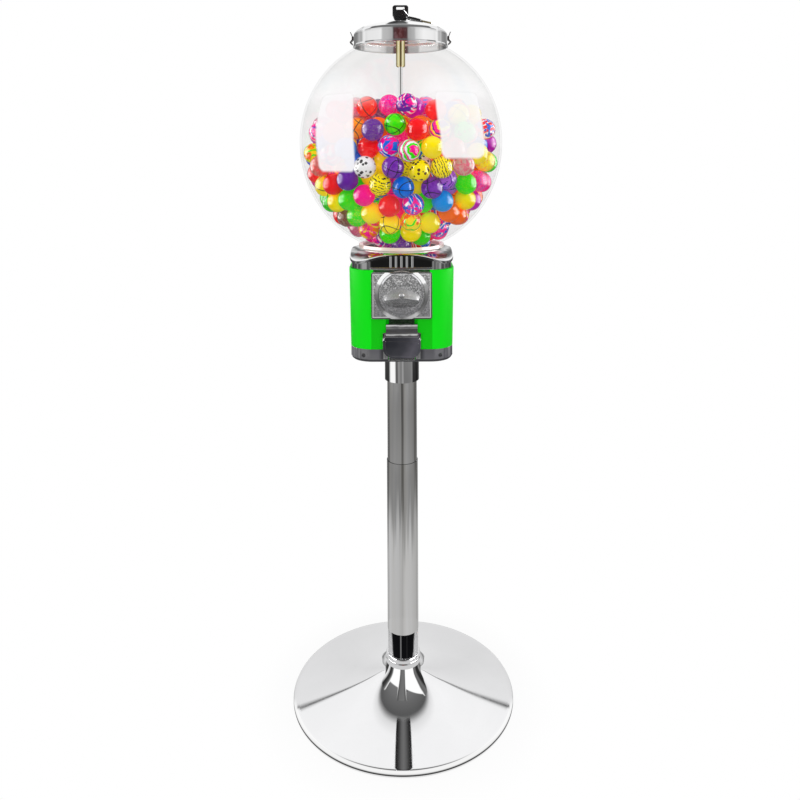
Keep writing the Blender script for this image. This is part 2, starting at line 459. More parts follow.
def hood_bands(M, sh, v, prz):
    """The stepped hood: bright ledges between darker risers, brushed sideways."""
    sx = M.t.nodes.new("ShaderNodeSeparateXYZ"); M.link(v, sx.inputs[0])
    w = M.noise(M.coords((26, 26, 90)), 1.0, 4, 0.6)
    z = M.math("ADD", sx.outputs[2], M.maprange(w, 0.3, 0.7, -0.0006, 0.0006))
    g = M.ramp(M.maprange(z, 0.556, 0.578, 0.0, 1.0), [(0.0, 0.28), (0.18, 0.34), (0.26, 0.6), (0.36, 0.62), (0.42, 0.1), (0.55, 0.045), (0.66, 0.06), (0.72, 0.22), (0.78, 0.14), (0.83, 0.25), (0.88, 0.62), (0.95, 0.64), (1.0, 0.1)])
    n2 = M.noise(M.coords((70, 1, 300)), 1.0, 3, 0.6)
    g = M.mix(M.maprange(n2, 0.45, 0.62, 0.0, 0.6), g, (0.07, 0.07, 0.08))
    front = M.maprange(sx.outputs[1], -0.0795, -0.0785, 1.0, 0.0)
    return over(M, sh, g, M.math("MULTIPLY", front, 0.8))


def steel(name, tone=(0.62, 0.63, 0.64), rough=0.3):
    M = Mat(name)
    v = M.coords()
    grain = M.noise(M.coords((1, 1, 0.06)), 1600.0, 3, 0.6)
    patch = M.noise(v, 60.0, 4, 0.6)
    col = M.mix(patch, tuple(t * 0.8 for t in tone), tuple(min(1, t * 1.12) for t in tone))
    b = M.bsdf(Base_Color=col, Metallic=1.0, Roughness=M.math("ADD", M.maprange(patch, 0.3, 0.7, rough * 0.8, rough * 1.2), M.maprange(grain, 0.3, 0.7, 0, 0.1)), Normal=M.bump(grain, 0.25, 0.00004))
    return M.done(b.outputs[0])


def plastic(name, col, rough=0.3, grain=0.3, spec=0.5, coat=0.0):
    M = Mat(name)
    v = M.coords()
    sp = M.noise(v, 2400.0, 2, 0.6)
    big = M.noise(v, 22.0, 4, 0.6)
    base = M.mix(M.maprange(big, 0.3, 0.7, 0.0, 1.0), tuple(c * 0.86 for c in col), tuple(min(1, c * 1.06 + 0.002) for c in col))
    b = M.bsdf(Base_Color=base, Roughness=M.maprange(big, 0.3, 0.75, rough * 0.75, rough * 1.35), Normal=M.bump(sp, grain, 0.00003))
    b.inputs["Specular IOR Level"].default_value = spec
    b.inputs["Coat Weight"].default_value = coat
    b.inputs["Coat Roughness"].default_value = 0.04
    return M.done(b.outputs[0])


def plate_bands(M, sh, v, prz):
    """Stippled face: a dark border line, a pale line inside it and coarse sparkle over the ground."""
    p = M.t.nodes.new("ShaderNodeSeparateXYZ"); M.link(v, p.inputs[0])
    g = M.n("ShaderNodeNewGeometry")
    n = M.t.nodes.new("ShaderNodeSeparateXYZ"); M.link(g.outputs["Normal"], n.inputs[0])
    face = M.maprange(M.math("MULTIPLY", n.outputs[1], -1.0), 0.75, 0.9, 0.0, 1.0)
    dx = M.math("SUBTRACT", M.math("ABSOLUTE", p.outputs[0]), 0.0435)
    dz = M.math("SUBTRACT", M.math("ABSOLUTE", M.math("SUBTRACT", p.outputs[2], 0.61835)), 0.03335)
    d = M.math("MULTIPLY", M.math("MAXIMUM", dx, dz), 1000.0)
    w = M.noise(M.coords((1, 1, 1)), 620.0, 3, 0.7)
    spark = M.ramp(w, [(0.0, 0.01), (0.4, 0.05), (0.46, 0.14), (0.52, 0.25), (0.58, 0.72), (0.66, 1.0), (1.0, 1.0)])
    spark = M.mix(M.maprange(p.outputs[2], 0.596, 0.64, 0.75, 0.0), spark, (0.09, 0.09, 0.1))
    sh = over(M, sh, spark, M.math("MULTIPLY", face, 0.62))
    wp = M.t.nodes.new("ShaderNodeSeparateXYZ"); M.link(g.outputs["Position"], wp.inputs[0])
    wz = M.math("SUBTRACT", wp.outputs[2], 0.621)
    rd = M.math("MULTIPLY", M.math("SQRT", M.math("ADD", M.math("MULTIPLY", wp.outputs[0], wp.outputs[0]), M.math("MULTIPLY", wz, wz))), 1000.0)
    an = M.math("MULTIPLY", M.math("ARCTAN2", wz, M.math("ABSOLUTE", wp.outputs[0])), 180 / PI)
    arc = M.math("MULTIPLY", M.math("MULTIPLY", M.maprange(an, 26.0, 29.0, 0.0, 1.0), M.maprange(an, 60.0, 62.0, 1.0, 0.0)), M.math("MULTIPLY", M.maprange(rd, 29.8, 30.6, 0.0, 1.0), M.maprange(rd, 33.2, 33.6, 1.0, 0.0)))
    w1 = M.n("ShaderNodeRGB"); w1.outputs[0].default_value = (0.9, 0.9, 0.92, 1)
    ring = M.math("MULTIPLY", M.maprange(rd, 28.4, 29.2, 0.0, 1.0), M.maprange(rd, 29.6, 30.4, 1.0, 0.0))
    k1 = M.n("ShaderNodeRGB"); k1.outputs[0].default_value = (0.07, 0.07, 0.075, 1)
    sh = over(M, sh, k1.outputs[0], M.math("MULTIPLY", ring, 0.5))
    sh = over(M, sh, w1.outputs[0], M.math("MULTIPLY", M.math("MULTIPLY", arc, face), 0.85))
    col = M.ramp(M.maprange(d, -5.0, 0.0, 0.0, 1.0), [(0.0, 0.3), (0.3, 0.3), (0.42, 0.62), (0.58, 0.55), (0.66, 0.05), (0.9, 0.03), (1.0, 0.06)])
    fac = M.math("MULTIPLY", M.maprange(d, -3.4, -3.0, 0.0, 0.85), face)
    flat = M.math("GREATER_THAN", M.math("ABSOLUTE", p.outputs[2]), 0.5)
    return over(M, sh, col, M.math("MULTIPLY", fac, flat))


def green_paint():
    M = Mat("green_powder_coat")
    v = M.coords()
    peel = M.noise(v, 420.0, 2, 0.5)
    micro = M.noise(v, 2600.0, 2, 0.5)
    tone = M.noise(v, 9.0, 3, 0.5)
    col = M.mix(tone, (0.005, 0.70, 0.01), (0.008, 0.75, 0.013))
    # the flat front below the plate is a touch deeper
    sx = M.t.nodes.new("ShaderNodeSeparateXYZ"); M.link(v, sx.inputs[0])
    flat = M.math("MULTIPLY", M.maprange(M.math("ABSOLUTE", sx.outputs[0]), 0.0435, 0.0439, 1.0, 0.0), M.math("MULTIPLY", M.maprange(sx.outputs[1], -0.0738, -0.0734, 1.0, 0.0), M.maprange(sx.outputs[2], 0.584, 0.587, 1.0, 0.0)))
    col = M.mix(M.math("MULTIPLY", flat, 0.9), col, (0.008, 0.5, 0.008))
    scuff = M.noise(M.coords((1, 1, 5)), 60.0, 6, 0.7)
    col = M.mix(M.maprange(scuff, 0.7, 0.82, 0.0, 0.25), col, (0.08, 0.86, 0.08))
    b = M.bsdf(Base_Color=col, Roughness=M.maprange(scuff, 0.45, 0.8, 0.3, 0.44), Normal=M.bump(micro, 0.08, 0.00003, M.bump(peel, 0.16, 0.00012)))
    b.inputs["Specular IOR Level"].default_value = 0.05
    M.link(col, b.inputs["Emission Color"])
    b.inputs["Emission Strength"].default_value = 0.22
    return M.done(b.outputs[0])


def stipple_zinc(name, tone=0.5, rough=0.33, cell=620.0, metal=0.9, relief=0.5, bands=None):
    """Bare zinc casting with a stippled ground, dark in its pits and buffed on its high spots."""
    M = Mat(name)
    v = M.coords()
    vo = M.n("ShaderNodeTexVoronoi", feature="SMOOTH_F1", ins={"Vector": v, "Scale": cell})
    h = M.maprange(vo.outputs["Distance"], 0.1, 0.7, 1.0, 0.0)
    nz = M.noise(v, cell * 2.2, 3, 0.6)
    hh = M.math("ADD", M.math("MULTIPLY", h, 0.7), M.math("MULTIPLY", nz, 0.5))
    geo = M.n("ShaderNodeNewGeometry")
    pit = M.maprange(geo.outputs["Pointiness"], 0.44, 0.56, 0.0, 1.0)
    col = M.mix(M.maprange(hh, 0.3, 1.0, 0.0, 1.0), (tone * 0.45,) * 3, (tone * 1.35, tone * 1.35, tone * 1.37))
    col = M.mix(pit, M.mix(0.5, col, (tone * 0.3,) * 3), col)
    b = M.bsdf(Base_Color=col, Metallic=metal, Roughness=M.maprange(hh, 0.3, 1.0, rough * 1.5, rough * 0.8), Normal=M.bump(hh, relief, 0.0002))
    sh = b.outputs[0]
    if bands:
        sh = bands(M, sh, v, polar(M, v))
    return M.done(sh)


def sleeve():
    """Gloss black sleeve whose curve mirrors a bright edge on both sides."""
    M = Mat("sleeve_black")
    v = M.coords()
    lw = M.n("ShaderNodeLayerWeight", ins={"Blend": 0.5})
    sm = M.noise(v, 40.0, 4, 0.6)
    f = M.ramp(M.math("ADD", lw.outputs["Facing"], M.maprange(sm, 0.3, 0.7, -0.02, 0.02)), [(0.0, 0.0), (0.36, 0.0), (0.44, 1.0), (1.0, 1.0)])
    a = M.bsdf(Base_Color=(0.004, 0.004, 0.005), Roughness=M.maprange(sm, 0.3, 0.7, 0.05, 0.12), Normal=M.bump(M.noise(v, 900.0, 2, 0.5), 0.04, 0.00002))
    a.inputs["Specular IOR Level"].default_value = 0.03
    t, nz, iz = turned(M)
    ln = M.ramp(M.maprange(t, -1.0, 1.0, 0.0, 1.0), [(0.0, 0.0), (0.395, 0.0), (0.41, 0.16), (0.435, 0.16), (0.45, 0.0), (0.6, 0.0), (0.62, 0.012), (0.66, 0.0), (1.0, 0.0)])
    M.link(ln, a.inputs["Emission Color"]); a.inputs["Emission Strength"].default_value = 1.0
    b = M.bsdf(Base_Color=(0.75, 0.75, 0.76), Metallic=0.3, Roughness=0.25)
    mx = M.n("ShaderNodeMixShader", ins={0: f})
    M.link(a.outputs[0], mx.inputs[1]); M.link(b.outputs[0], mx.inputs[2])
    return M.done(mx.outputs[0])


def vinyl():
    """Milky clear vinyl that picks up the warm colours above it."""
    M = Mat("gasket_vinyl")
    v = M.coords()
    n1 = M.noise(v, 30.0, 3, 0.5)
    col = M.mix(M.maprange(n1, 0.35, 0.65, 0.0, 1.0), (0.95, 0.74, 0.68), (0.93, 0.86, 0.82))
    b = M.bsdf(Base_Color=col, Roughness=M.maprange(n1, 0.3, 0.7, 0.12, 0.25), Normal=M.bump(M.noise(v, 600.0, 2, 0.5), 0.06, 0.00004))
    b.inputs["Coat Weight"].default_value = 0.3
    M.link(col, b.inputs["Emission Color"])
    b.inputs["Emission Strength"].default_value = 0.12
    return M.done(b.outputs[0])


def clear_plastic(name):
    """Clear polycarbonate as two thin walls: lets light straight through, mirrors the studio softly, and greys at its edges."""
    M = Mat(name)
    v = M.coords()
    lw = M.n("ShaderNodeLayerWeight", ins={"Blend": 0.5})
    face = lw.outputs["Facing"]
    wave = M.noise(v, 7.0, 2, 0.5)
    scr = M.noise(M.coords((1, 1, 7)), 120.0, 6, 0.7)
    tint = M.ramp(face, [(0.0, (0.982, 0.98, 0.978)), (0.55, (0.978, 0.976, 0.974)), (0.85, (0.97, 0.969, 0.968)), (0.95, (0.955, 0.955, 0.955)), (1.0, (0.9, 0.9, 0.91))])
    tr = M.n("ShaderNodeBsdfTransparent", ins={"Color": tint})
    nrm = M.bump(wave, 0.12, 0.0012)
    gl = M.n("ShaderNodeBsdfGlossy", ins={"Roughness": 0.05, "Normal": nrm})
    M.link(M.maprange(scr, 0.4, 0.8, 0.03, 0.09), gl.inputs["Roughness"])
    fac = M.ramp(face, [(0.0, 0.045), (0.5, 0.05), (0.75, 0.06), (0.9, 0.09), (1.0, 0.2)])
    lp = M.n("ShaderNodeLightPath")
    fac = M.math("MULTIPLY", fac, M.math("SUBTRACT", 1.0, lp.outputs["Is Shadow Ray"]))
    # the inner wall mirrors much less than the outer one
    geo = M.n("ShaderNodeNewGeometry")
    fac = M.math("MULTIPLY", fac, M.math("SUBTRACT", 1.0, M.math("MULTIPLY", geo.outputs["Backfacing"], 0.75)))
    mx = M.n("ShaderNodeMixShader", ins={0: fac})
    M.link(tr.outputs[0], mx.inputs[1]); M.link(gl.outputs[0], mx.inputs[2])
    # two tall soft panels mirrored on the near wall: place of a mirrored direction on a mirror ball
    I = M.n("ShaderNodeSeparateXYZ"); M.link(geo.outputs["Incoming"], I.inputs[0])
    wob = M.noise(v, 11.0, 3, 0.5)
    N = M.n("ShaderNodeSeparateXYZ"); M.link(geo.outputs["Normal"], N.inputs[0])
    hi = M.math("SQRT", M.math("ADD", M.math("MULTIPLY", I.outputs[0], I.outputs[0]), M.math("MULTIPLY", I.outputs[1], I.outputs[1])))
    X = M.math("DIVIDE", M.math("SUBTRACT", M.math("MULTIPLY", N.outputs[1], I.outputs[0]), M.math("MULTIPLY", N.outputs[0], I.outputs[1])), hi)
    Y = N.outputs[2]
    X = M.math("ADD", X, M.maprange(wob, 0.3, 0.7, -0.012, 0.012))
    tot = None
    bow = M.math("MULTIPLY", M.math("MULTIPLY", M.math("MULTIPLY", Y, Y), 0.5), M.maprange(M.math("ABSOLUTE", X), 0.42, 0.82, 0.0, 1.0))
    ax = M.math("ADD", M.math("ABSOLUTE", X), bow)
    rr = 0.05
    for sgn, x0, sl, x1, y0, y1 in ((-1.0, 0.475, -0.03, 0.835, -0.235, 0.4), (1.0, 0.345, 0.13, 0.825, -0.135, 0.41)):
        on = M.math("GREATER_THAN", M.math("MULTIPLY", X, sgn), 0.0)
        inner = M.math("ADD", x0, M.math("MULTIPLY", M.math("SUBTRACT", y1, Y), sl))
        dx = M.math("MAXIMUM", M.math("ADD", M.math("MAXIMUM", M.math("SUBTRACT", inner, ax), M.math("SUBTRACT", ax, x1)), rr), 0.0)
        dy = M.math("MAXIMUM", M.math("ADD", M.math("MAXIMUM", M.math("SUBTRACT", y0, Y), M.math("SUBTRACT", Y, y1)), rr), 0.0)
        dd = M.math("SQRT", M.math("ADD", M.math("MULTIPLY", dx, dx), M.math("MULTIPLY", dy, dy)))
        fade = M.maprange(wob, 0.3, 0.7, 0.8, 0.94)
        core = M.math("MULTIPLY", M.maprange(dd, rr - 0.014, rr + 0.014, 1.0, 0.0, True), fade)
        halo = M.math("MULTIPLY", M.maprange(dd, rr, rr + 0.3, 0.85, 0.0, True), M.maprange(Y, y1 - 0.14, y1 + 0.02, 0.0, 1.0, True))
        part = M.math("MULTIPLY", M.math("MAXIMUM", core, halo), on)
        tot = part if tot is None else M.math("MAXIMUM", tot, part)
    # only the wall nearest the eye shows them
    pos = M.n("ShaderNodeVectorMath", operation="SUBTRACT", ins={1: (0, 0, 0.8385)}); M.link(geo.outputs["Position"], pos.inputs[0])
    dp = M.n("ShaderNodeVectorMath", operation="DOT_PRODUCT"); M.link(pos.outputs[0], dp.inputs[0]); M.link(geo.outputs["True Normal"], dp.inputs[1])
    near = M.math("MULTIPLY", M.math("GREATER_THAN", dp.outputs["Value"], 0.0), M.math("SUBTRACT", 1.0, geo.outputs["Backfacing"]))
    near = M.math("MULTIPLY", near, lp.outputs["Is Camera Ray"])
    tone = M.ramp(M.maprange(wob, 0.3, 0.7, 0.0, 1.0), [(0.0, (0.90, 0.94, 0.97)), (0.5, (0.97, 0.97, 0.97)), (1.0, (0.98, 0.94, 0.96))])
    em = M.n("ShaderNodeEmission", ins={1: 1.0}); M.link(tone, em.inputs[0])
    mw = M.n("ShaderNodeMixShader"); M.link(M.math("MULTIPLY", tot, near), mw.inputs[0])
    M.link(mx.outputs[0], mw.inputs[1]); M.link(em.outputs[0], mw.inputs[2])
    return M.done(mw.outputs[0])


MATS = {
    "base_chrome": chrome("base_chrome", 0.92, 0.025, "round", 0.08, seen=[(0.0, 0.62), (1.0, 0.7)], bands=dish_bands),
    "pole_chrome": chrome("pole_chrome", 0.86, 0.05, "long", 0.25, seen=pole_seen, streak=0.2, bands=pole_bands),
    "cast_chrome": chrome("cast_chrome", 0.8, 0.05, "cast", 0.1),
    "lid_chrome": chrome("lid_chrome", 0.88, 0.035, "round", 0.1),
    "door_chrome": chrome("door_chrome", 0.42, 0.09, "cast", 0.08, bands=door_bands),
    "sleeve_black": sleeve(),
    "foot_rubber": plastic("foot_rubber", (0.02, 0.02, 0.02), 0.7, 0.8),
    "ballast_iron": plastic("ballast_iron", (0.03, 0.03, 0.032), 0.75, 2.5),
    "zinc_steel": steel("zinc_steel", (0.78, 0.79, 0.8), 0.16),
    "gasket_vinyl": vinyl(),
    "green_paint": green_paint(),
    "grey_die_cast": stipple_zinc("grey_die_cast", 0.5, 0.45, 1500.0),
    "bush_brass": steel("bush_brass", (0.72, 0.52, 0.2), 0.28),
    "wheel_plastic": plastic("wheel_plastic", (0.8, 0.79, 0.75), 0.4, 0.5),
    "agitator_plastic": plastic("agitator_plastic", (0.6, 0.04, 0.03), 0.35, 0.4),
    "mech_zinc": stipple_zinc("mech_zinc", 0.6, 0.3, 560.0, 0.45, 0.5, plate_bands),
    "handle_zinc": stipple_zinc("handle_zinc", 0.62, 0.22, 1300.0, 0.75, 0.25, handle_bands),
    "clear_globe": clear_plastic("clear_globe"),
    "lock_brass": steel("lock_brass", (0.9, 0.8, 0.46), 0.14),
    "key_brass": steel("key_brass", (0.72, 0.62, 0.36), 0.25),
    "key_plastic": plastic("key_plastic", (0.008, 0.008, 0.009), 0.24, 0.4, 0.5),
}
# the same platings as single parts show them
COLLAR_RING = chrome("collar_ring_chrome", 0.9, 0.03, "round", 0.08, seen=collar_tone)
FERRULE = chrome("ferrule_chrome", 0.86, 0.04, "round", 0.1, seen=pole_seen, bands=ferrule_bands)
COLLAR_CAST = chrome("collar_cast_chrome", 0.66, 0.05, "cast", 0.1, bands=cast_bands)
TRAY_CAST = chrome("tray_cast_chrome", 0.7, 0.07, "cast", 0.1, bands=tray_bands)
LID_SPUN = chrome("lid_spun_chrome", 0.88, 0.035, "round", 0.1, bands=lid_bands)
SCREW = steel("screw_dull", (0.2, 0.2, 0.21), 0.55)
RIB = chrome("rib_chrome", 0.8, 0.06, "cast", 0.1, bands=rib_bands)
BEZEL = chrome("bezel_chrome", 0.8, 0.06, "cast", 0.1, bands=bezel_bands)
ROD = chrome("rod_bright", 0.85, 0.05, "long", 0.15, bands=rod_bands)
BRASS = chrome("brass_turned", 0.85, 0.1, "round", 0.15, tint=(1.0, 0.86, 0.5), bands=brass_bands)
HOOD_CAST = chrome("hood_cast_chrome", 0.7, 0.09, "cast", 0.1, bands=hood_bands)


# ------------------------------------------------------------------ mesh helpers
def finish_mesh(bm, name, mat, angle=33, recalc=True):
    bmesh.ops.remove_doubles(bm, verts=bm.verts, dist=1e-6)
    if recalc:
        bmesh.ops.recalc_face_normals(bm, faces=bm.faces)
    for f in bm.faces:
        f.smooth = True
    for e in bm.edges:
        e.smooth = len(e.link_faces) == 2 and e.calc_face_angle(0) < math.radians(angle)
    me = bpy.data.meshes.new(name)
    bm.to_mesh(me)
    bm.free()
    me.materials.append(mat)
    ob = bpy.data.objects.new(name, me)
    scene.collection.objects.link(ob)
    return ob


def place(ob, body, slot, *nodes):
    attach(ob, body)
    if nodes:
        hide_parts(*nodes)
    return ob


def fillet(pts, closed=True, n=4):
    """Rounds the corners of a profile. Each point is (a, b) or (a, b, radius)."""
    out = []
    m = len(pts)
    for i, p in enumerate(pts):
        r = p[2] if len(p) > 2 else 0
        if r <= 0 or (not closed and i in (0, m - 1)):
            out.append((p[0], p[1]))
            continue
        a = Vector(pts[i - 1][:2]); b = Vector(p[:2]); c = Vector(pts[(i + 1) % m][:2])
        u = (a - b); w = (c - b)
        lu, lw = u.length, w.length
        if lu < 1e-9 or lw < 1e-9:
            out.append((p[0], p[1])); continue
        u /= lu; w /= lw
        ang = math.acos(max(-1, min(1, u.dot(w))))
        if ang > math.radians(176):
            out.append((p[0], p[1])); continue
        d = min(r / math.tan(ang / 2), lu * 0.48, lw * 0.48)
        rr = d * math.tan(ang / 2)
        cen = b + (u + w).normalized() * (rr / math.sin(ang / 2))
        s = b + u * d - cen; e = b + w * d - cen
        a0 = math.atan2(s.y, s.x); a1 = math.atan2(e.y, e.x)
        da = (a1 - a0 + PI) % (2 * PI) - PI
        for k in range(n + 1):
            t = a0 + da * k / n
            out.append((cen.x + rr * math.cos(t), cen.y + rr * math.sin(t)))
    return out


def lathe(name, prof, mat, segs=128, closed=True, axis="Z", org=(0, 0, 0), angle=33, n=4):
    """Turns a profile of (radius, height) in mm round an axis."""
    pts = fillet(prof, closed, n)
    bm = bmesh.new()
    rings = []
    for k in range(segs):
        t = 2 * PI * k / segs
        c, s = math.cos(t), math.sin(t)
        ring = []
        for r, h in pts:
            if axis == "Z":
                p = (r * c, r * s, h)
            elif axis == "Y":
                p = (r * c, h, r * s)
            else:
                p = (h, r * c, r * s)
            ring.append(bm.verts.new(((p[0] + org[0]) * MM, (p[1] + org[1]) * MM, (p[2] + org[2]) * MM)))
        rings.append(ring)
    m = len(pts)
    for k in range(segs):
        a, b = rings[k], rings[(k + 1) % segs]
        for i in range(m if closed else m - 1):
            j = (i + 1) % m
            if pts[i][0] < 1e-6 and pts[j][0] < 1e-6:
                continue
            if pts[i][0] < 1e-6:
                bm.faces.new((a[i], b[j], a[j]))
            elif pts[j][0] < 1e-6:
                bm.faces.new((a[i], b[i], a[j]))
            else:
                bm.faces.new((a[i], b[i], b[j], a[j]))
    return finish_mesh(bm, name, mat, angle)


def prism(name, pts, lo, hi, plane, mat, bevel=0.0, segs=3, holes=(), angle=33):
    """Pushes a flat outline in mm (with any round holes (a, b, r)) between two heights; plane is the pair of axes of the outline."""
    bm = bmesh.new()
    def at(a, b, h):
        return {"XZ": (a, h, b), "YZ": (h, a, b), "XY": (a, b, h)}[plane]
    def col(q, h):
        return [bm.verts.new(tuple(c * MM for c in at(a, b, h))) for a, b in q]
    loops = [pts] + [[(x + r * math.cos(2 * PI * k / 48), y + r * math.sin(2 * PI * k / 48)) for k in range(48)] for x, y, r in holes]
    for h in (lo, hi):
        edges = []
        for q in loops:
            vs = col(q, h)
            edges += [bm.edges.new((vs[i], vs[(i + 1) % len(vs)])) for i in range(len(vs))]
        if holes:
            bmesh.ops.triangle_fill(bm, use_beauty=True, use_dissolve=False, edges=edges)
        else:
            bm.faces.new(vs)
    bm.verts.ensure_lookup_table()
    k = sum(len(q) for q in loops)
    base = 0
    for q in loops:
        for i in range(len(q)):
            j = (i + 1) % len(q)
            a, b = bm.verts[base + i], bm.verts[base + j]
            c, d = bm.verts[base + k + j], bm.verts[base + k + i]
            bm.faces.new((a, b, c, d))
        base += len(q)
    ob = finish_mesh(bm, name, mat, angle)
    if bevel:
        add_bevel(ob, bevel, segs)
    return ob


def add_bevel(ob, w, segs=3, ang=35):
    md = ob.modifiers.new("soft_edges", "BEVEL")
    md.width = w * MM
    md.segments = segs
    md.limit_method = "ANGLE"
    md.angle_limit = math.radians(ang)
    md.harden_normals = False
    bake(ob)
    smooth_by(ob, 40)


def smooth_by(ob, ang):
    bm = bmesh.new()
    bm.from_mesh(ob.data)
    for f in bm.faces:
        f.smooth = True
    for e in bm.edges:
        e.smooth = len(e.link_faces) == 2 and e.calc_face_angle(0) < math.radians(ang)
    bm.to_mesh(ob.data)
    bm.free()


def bake(ob):
    """Applies every modifier on ob."""
    bpy.context.view_layer.update()
    dg = bpy.context.evaluated_depsgraph_get()
    me = bpy.data.meshes.new_from_object(ob.evaluated_get(dg))
    me.name = ob.name
    ob.modifiers.clear()
    ob.data = me


def cut(ob, tool, op="DIFFERENCE"):
    md = ob.modifiers.new("cut", "BOOLEAN")
    md.operation = op
    md.solver = "EXACT"
    md.object = tool
    bake(ob)
    bpy.data.objects.remove(tool)
    return ob


def cube(lo, hi, name="tool"):
    bm = bmesh.new()
    bmesh.ops.create_cube(bm, size=1)
    for v in bm.verts:
        v.co = Vector([(lo[i] + (hi[i] - lo[i]) * (v.co[i] + 0.5)) * MM for i in range(3)])
    me = bpy.data.meshes.new(name)
    bm.to_mesh(me); bm.free()
    ob = bpy.data.objects.new(name, me)
    scene.collection.objects.link(ob)
    return ob


def join(name, obs):
    """One mesh from several, keeping each one's materials."""
    bpy.context.view_layer.update()
    for o in obs:
        o.select_set(False)
    with bpy.context.temp_override(active_object=obs[0], selected_editable_objects=obs, selected_objects=obs, object=obs[0]):
        bpy.ops.object.join()
    obs[0].name = name
    obs[0].data.name = name
    return obs[0]


def rsq_r(t, hw, rc):
    """Distance from the middle to a rounded square's edge, in direction t."""
    c, s = abs(math.cos(t)), abs(math.sin(t))
    if s > c:
        c, s = s, c
    if hw * s / c <= hw - rc:
        return hw / c
    k = hw - rc
    b = k * (c + s)
    return b + math.sqrt(max(0, b * b - (2 * k * k - rc * rc)))


def square_ring(hw, rc, n=12, flats=(0,)):
    """Points round a rounded square, with the same count for any size; flats are places along each side."""
    out = []
    k = hw - rc
    for side in range(4):
        a = side * PI / 2
        c, s = math.cos(a), math.sin(a)
        line = [(x, -hw) for x in flats] + [(k + rc * math.cos(t), -k + rc * math.sin(t)) for t in [(-90 + 90 * i / n) * PI / 180 for i in range(n + 1)]]
        line = [(-k, -hw)] + line if side == 0 else line
        for x, y in line:
            out.append((x * c - y * s, x * s + y * c))
    return out[:-1]


def z_of(node, k=2):
    lo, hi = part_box(node)
    return lo[k] / MM, hi[k] / MM



# ------------------------------------------------------------------ CAD nodes that stay
for row in frame["record"]["subparts"]:
    node, sl = row["node"], row["material_slot"]
    ob = NODES[node]
    ob.data.materials.clear()
    if sl in MATS:
        ob.data.materials.append(MATS[sl])


# the rod inside the pole is never seen, so it is left out of mirror images too
NODES["tie_rod"].visible_glossy = False
for node in ("center_rod",):
    NODES[node].data.materials.clear()
    NODES[node].data.materials.append(ROD)


# ------------------------------------------------------------------ stand
BASE_R, LIP_H, NECK = 166.0, 5.6, 49.0
EDGE = chrome("edge_chrome", 0.16, 0.16, "round", 0.1)
RIM = plastic("cut_rim", (0.035, 0.035, 0.037), 0.6, 0.6, 0.1)


def dark_edge(ob, where):
    """Cut and rolled edges keep a dull, darker plating."""
    ob.data.materials.append(RIM)
    for p in ob.data.polygons:
        if where(p.center):
            p.material_index = 1


def horn(r):
    return LIP_H + 2 + 21.75 * math.log((BASE_R + 5) / (r + 10)) + 7.6 * math.exp(-(r - 25.1) / 2.6)


def horn_pts(n, o=0.0):
    return [(r, horn(r) - o) for r in (25.3 + (BASE_R - 3.4 - 25.3) * (i / n) ** 1.6 for i in range(n + 1))]


top = horn_pts(54)
under = [(r, z) for r, z in horn_pts(26, 1.84)][3:]
dish = [(5.4, NECK - 0.05), (24.9, NECK - 0.05, 0.4)] + top + [(BASE_R - 1.0, LIP_H + 0.75, 1.2), (BASE_R, LIP_H - 1.4, 1.6), (BASE_R, 0.8, 0.5), (BASE_R - 1.6, 0.8, 0.3), (BASE_R - 1.6, LIP_H - 1.2)] + under[::-1] + [(23.2, NECK - 7), (23.2, NECK - 2.2), (5.4, NECK - 2.2)]
dish_o = lathe("base_dish_plated", dish, MATS["base_chrome"], 256, angle=38)
place(dish_o, "stand", "base_chrome", "base_dish")
place(lathe("base_foot_ring_moulded", [(159.2, 0, 0.5), (164.2, 0, 0.5), (164.2, 4, 0.2), (162.6, 4), (162.2, 2.6, 0.3), (160.8, 2.6, 0.3), (160.4, 4), (159.2, 4, 0.2)], MATS["foot_rubber"], 160), "stand", "foot_rubber", "base_foot_ring")
place(lathe("pole_collar_turned", [(5.4, NECK + 0.02), (25.8, NECK + 0.02, 0.3), (26.4, NECK + 0.9, 0.4), (26.4, NECK + 6.5, 0.8), (25.6, NECK + 8.0, 0.4), (25, NECK + 8.1), (25, NECK + 8.6), (25.5, NECK + 9.2, 0.4), (25.6, NECK + 12.5, 0.9), (24.8, 62.48, 0.5), (19.6, 62.48), (19.6, NECK + 3), (5.4, NECK + 3)], COLLAR_RING, 128), "stand", "pole_chrome", "pole_collar")
place(lathe("pole_sleeve_gloss", [(5.4, NECK + 3.05), (19.5, NECK + 3.05), (19.5, 62.5), (22.5, 62.5, 0.3), (23, 63.2, 0.4), (23, 98.4, 0.2), (21.95, 98.4), (21.95, 124.4, 0.4), (21.1, 125.4, 0.4), (5.4, 125.4)], MATS["sleeve_black"], 128), "stand", "sleeve_black", "pole_sleeve")
lower = lathe("pole_lower_tube", [(23.5, 98.5, 0.2), (23.5, 354.6, 0.15), (22, 354.6), (22, 98.5, 0.2)], MATS["pole_chrome"], 160)
dark_edge(lower, lambda c: c[2] > 0.35442)
place(lower, "stand", "pole_chrome", "pole_lower")
place(lathe("pole_upper_tube", [(22.5, 354.62, 0.35), (22.5, 518.7, 0.2), (21, 518.7), (21, 354.62)], MATS["pole_chrome"], 160), "stand", "pole_chrome", "pole_upper")
place(lathe("pole_ferrule_turned", [(22.58, 477), (25.7, 477, 0.1), (26, 477.3, 0.15), (26, 520.8, 0.4), (25.6, 521.75, 0.3), (5.4, 521.75), (5.4, 518.8), (22.58, 518.8)], FERRULE, 128), "stand", "pole_chrome", "pole_ferrule")


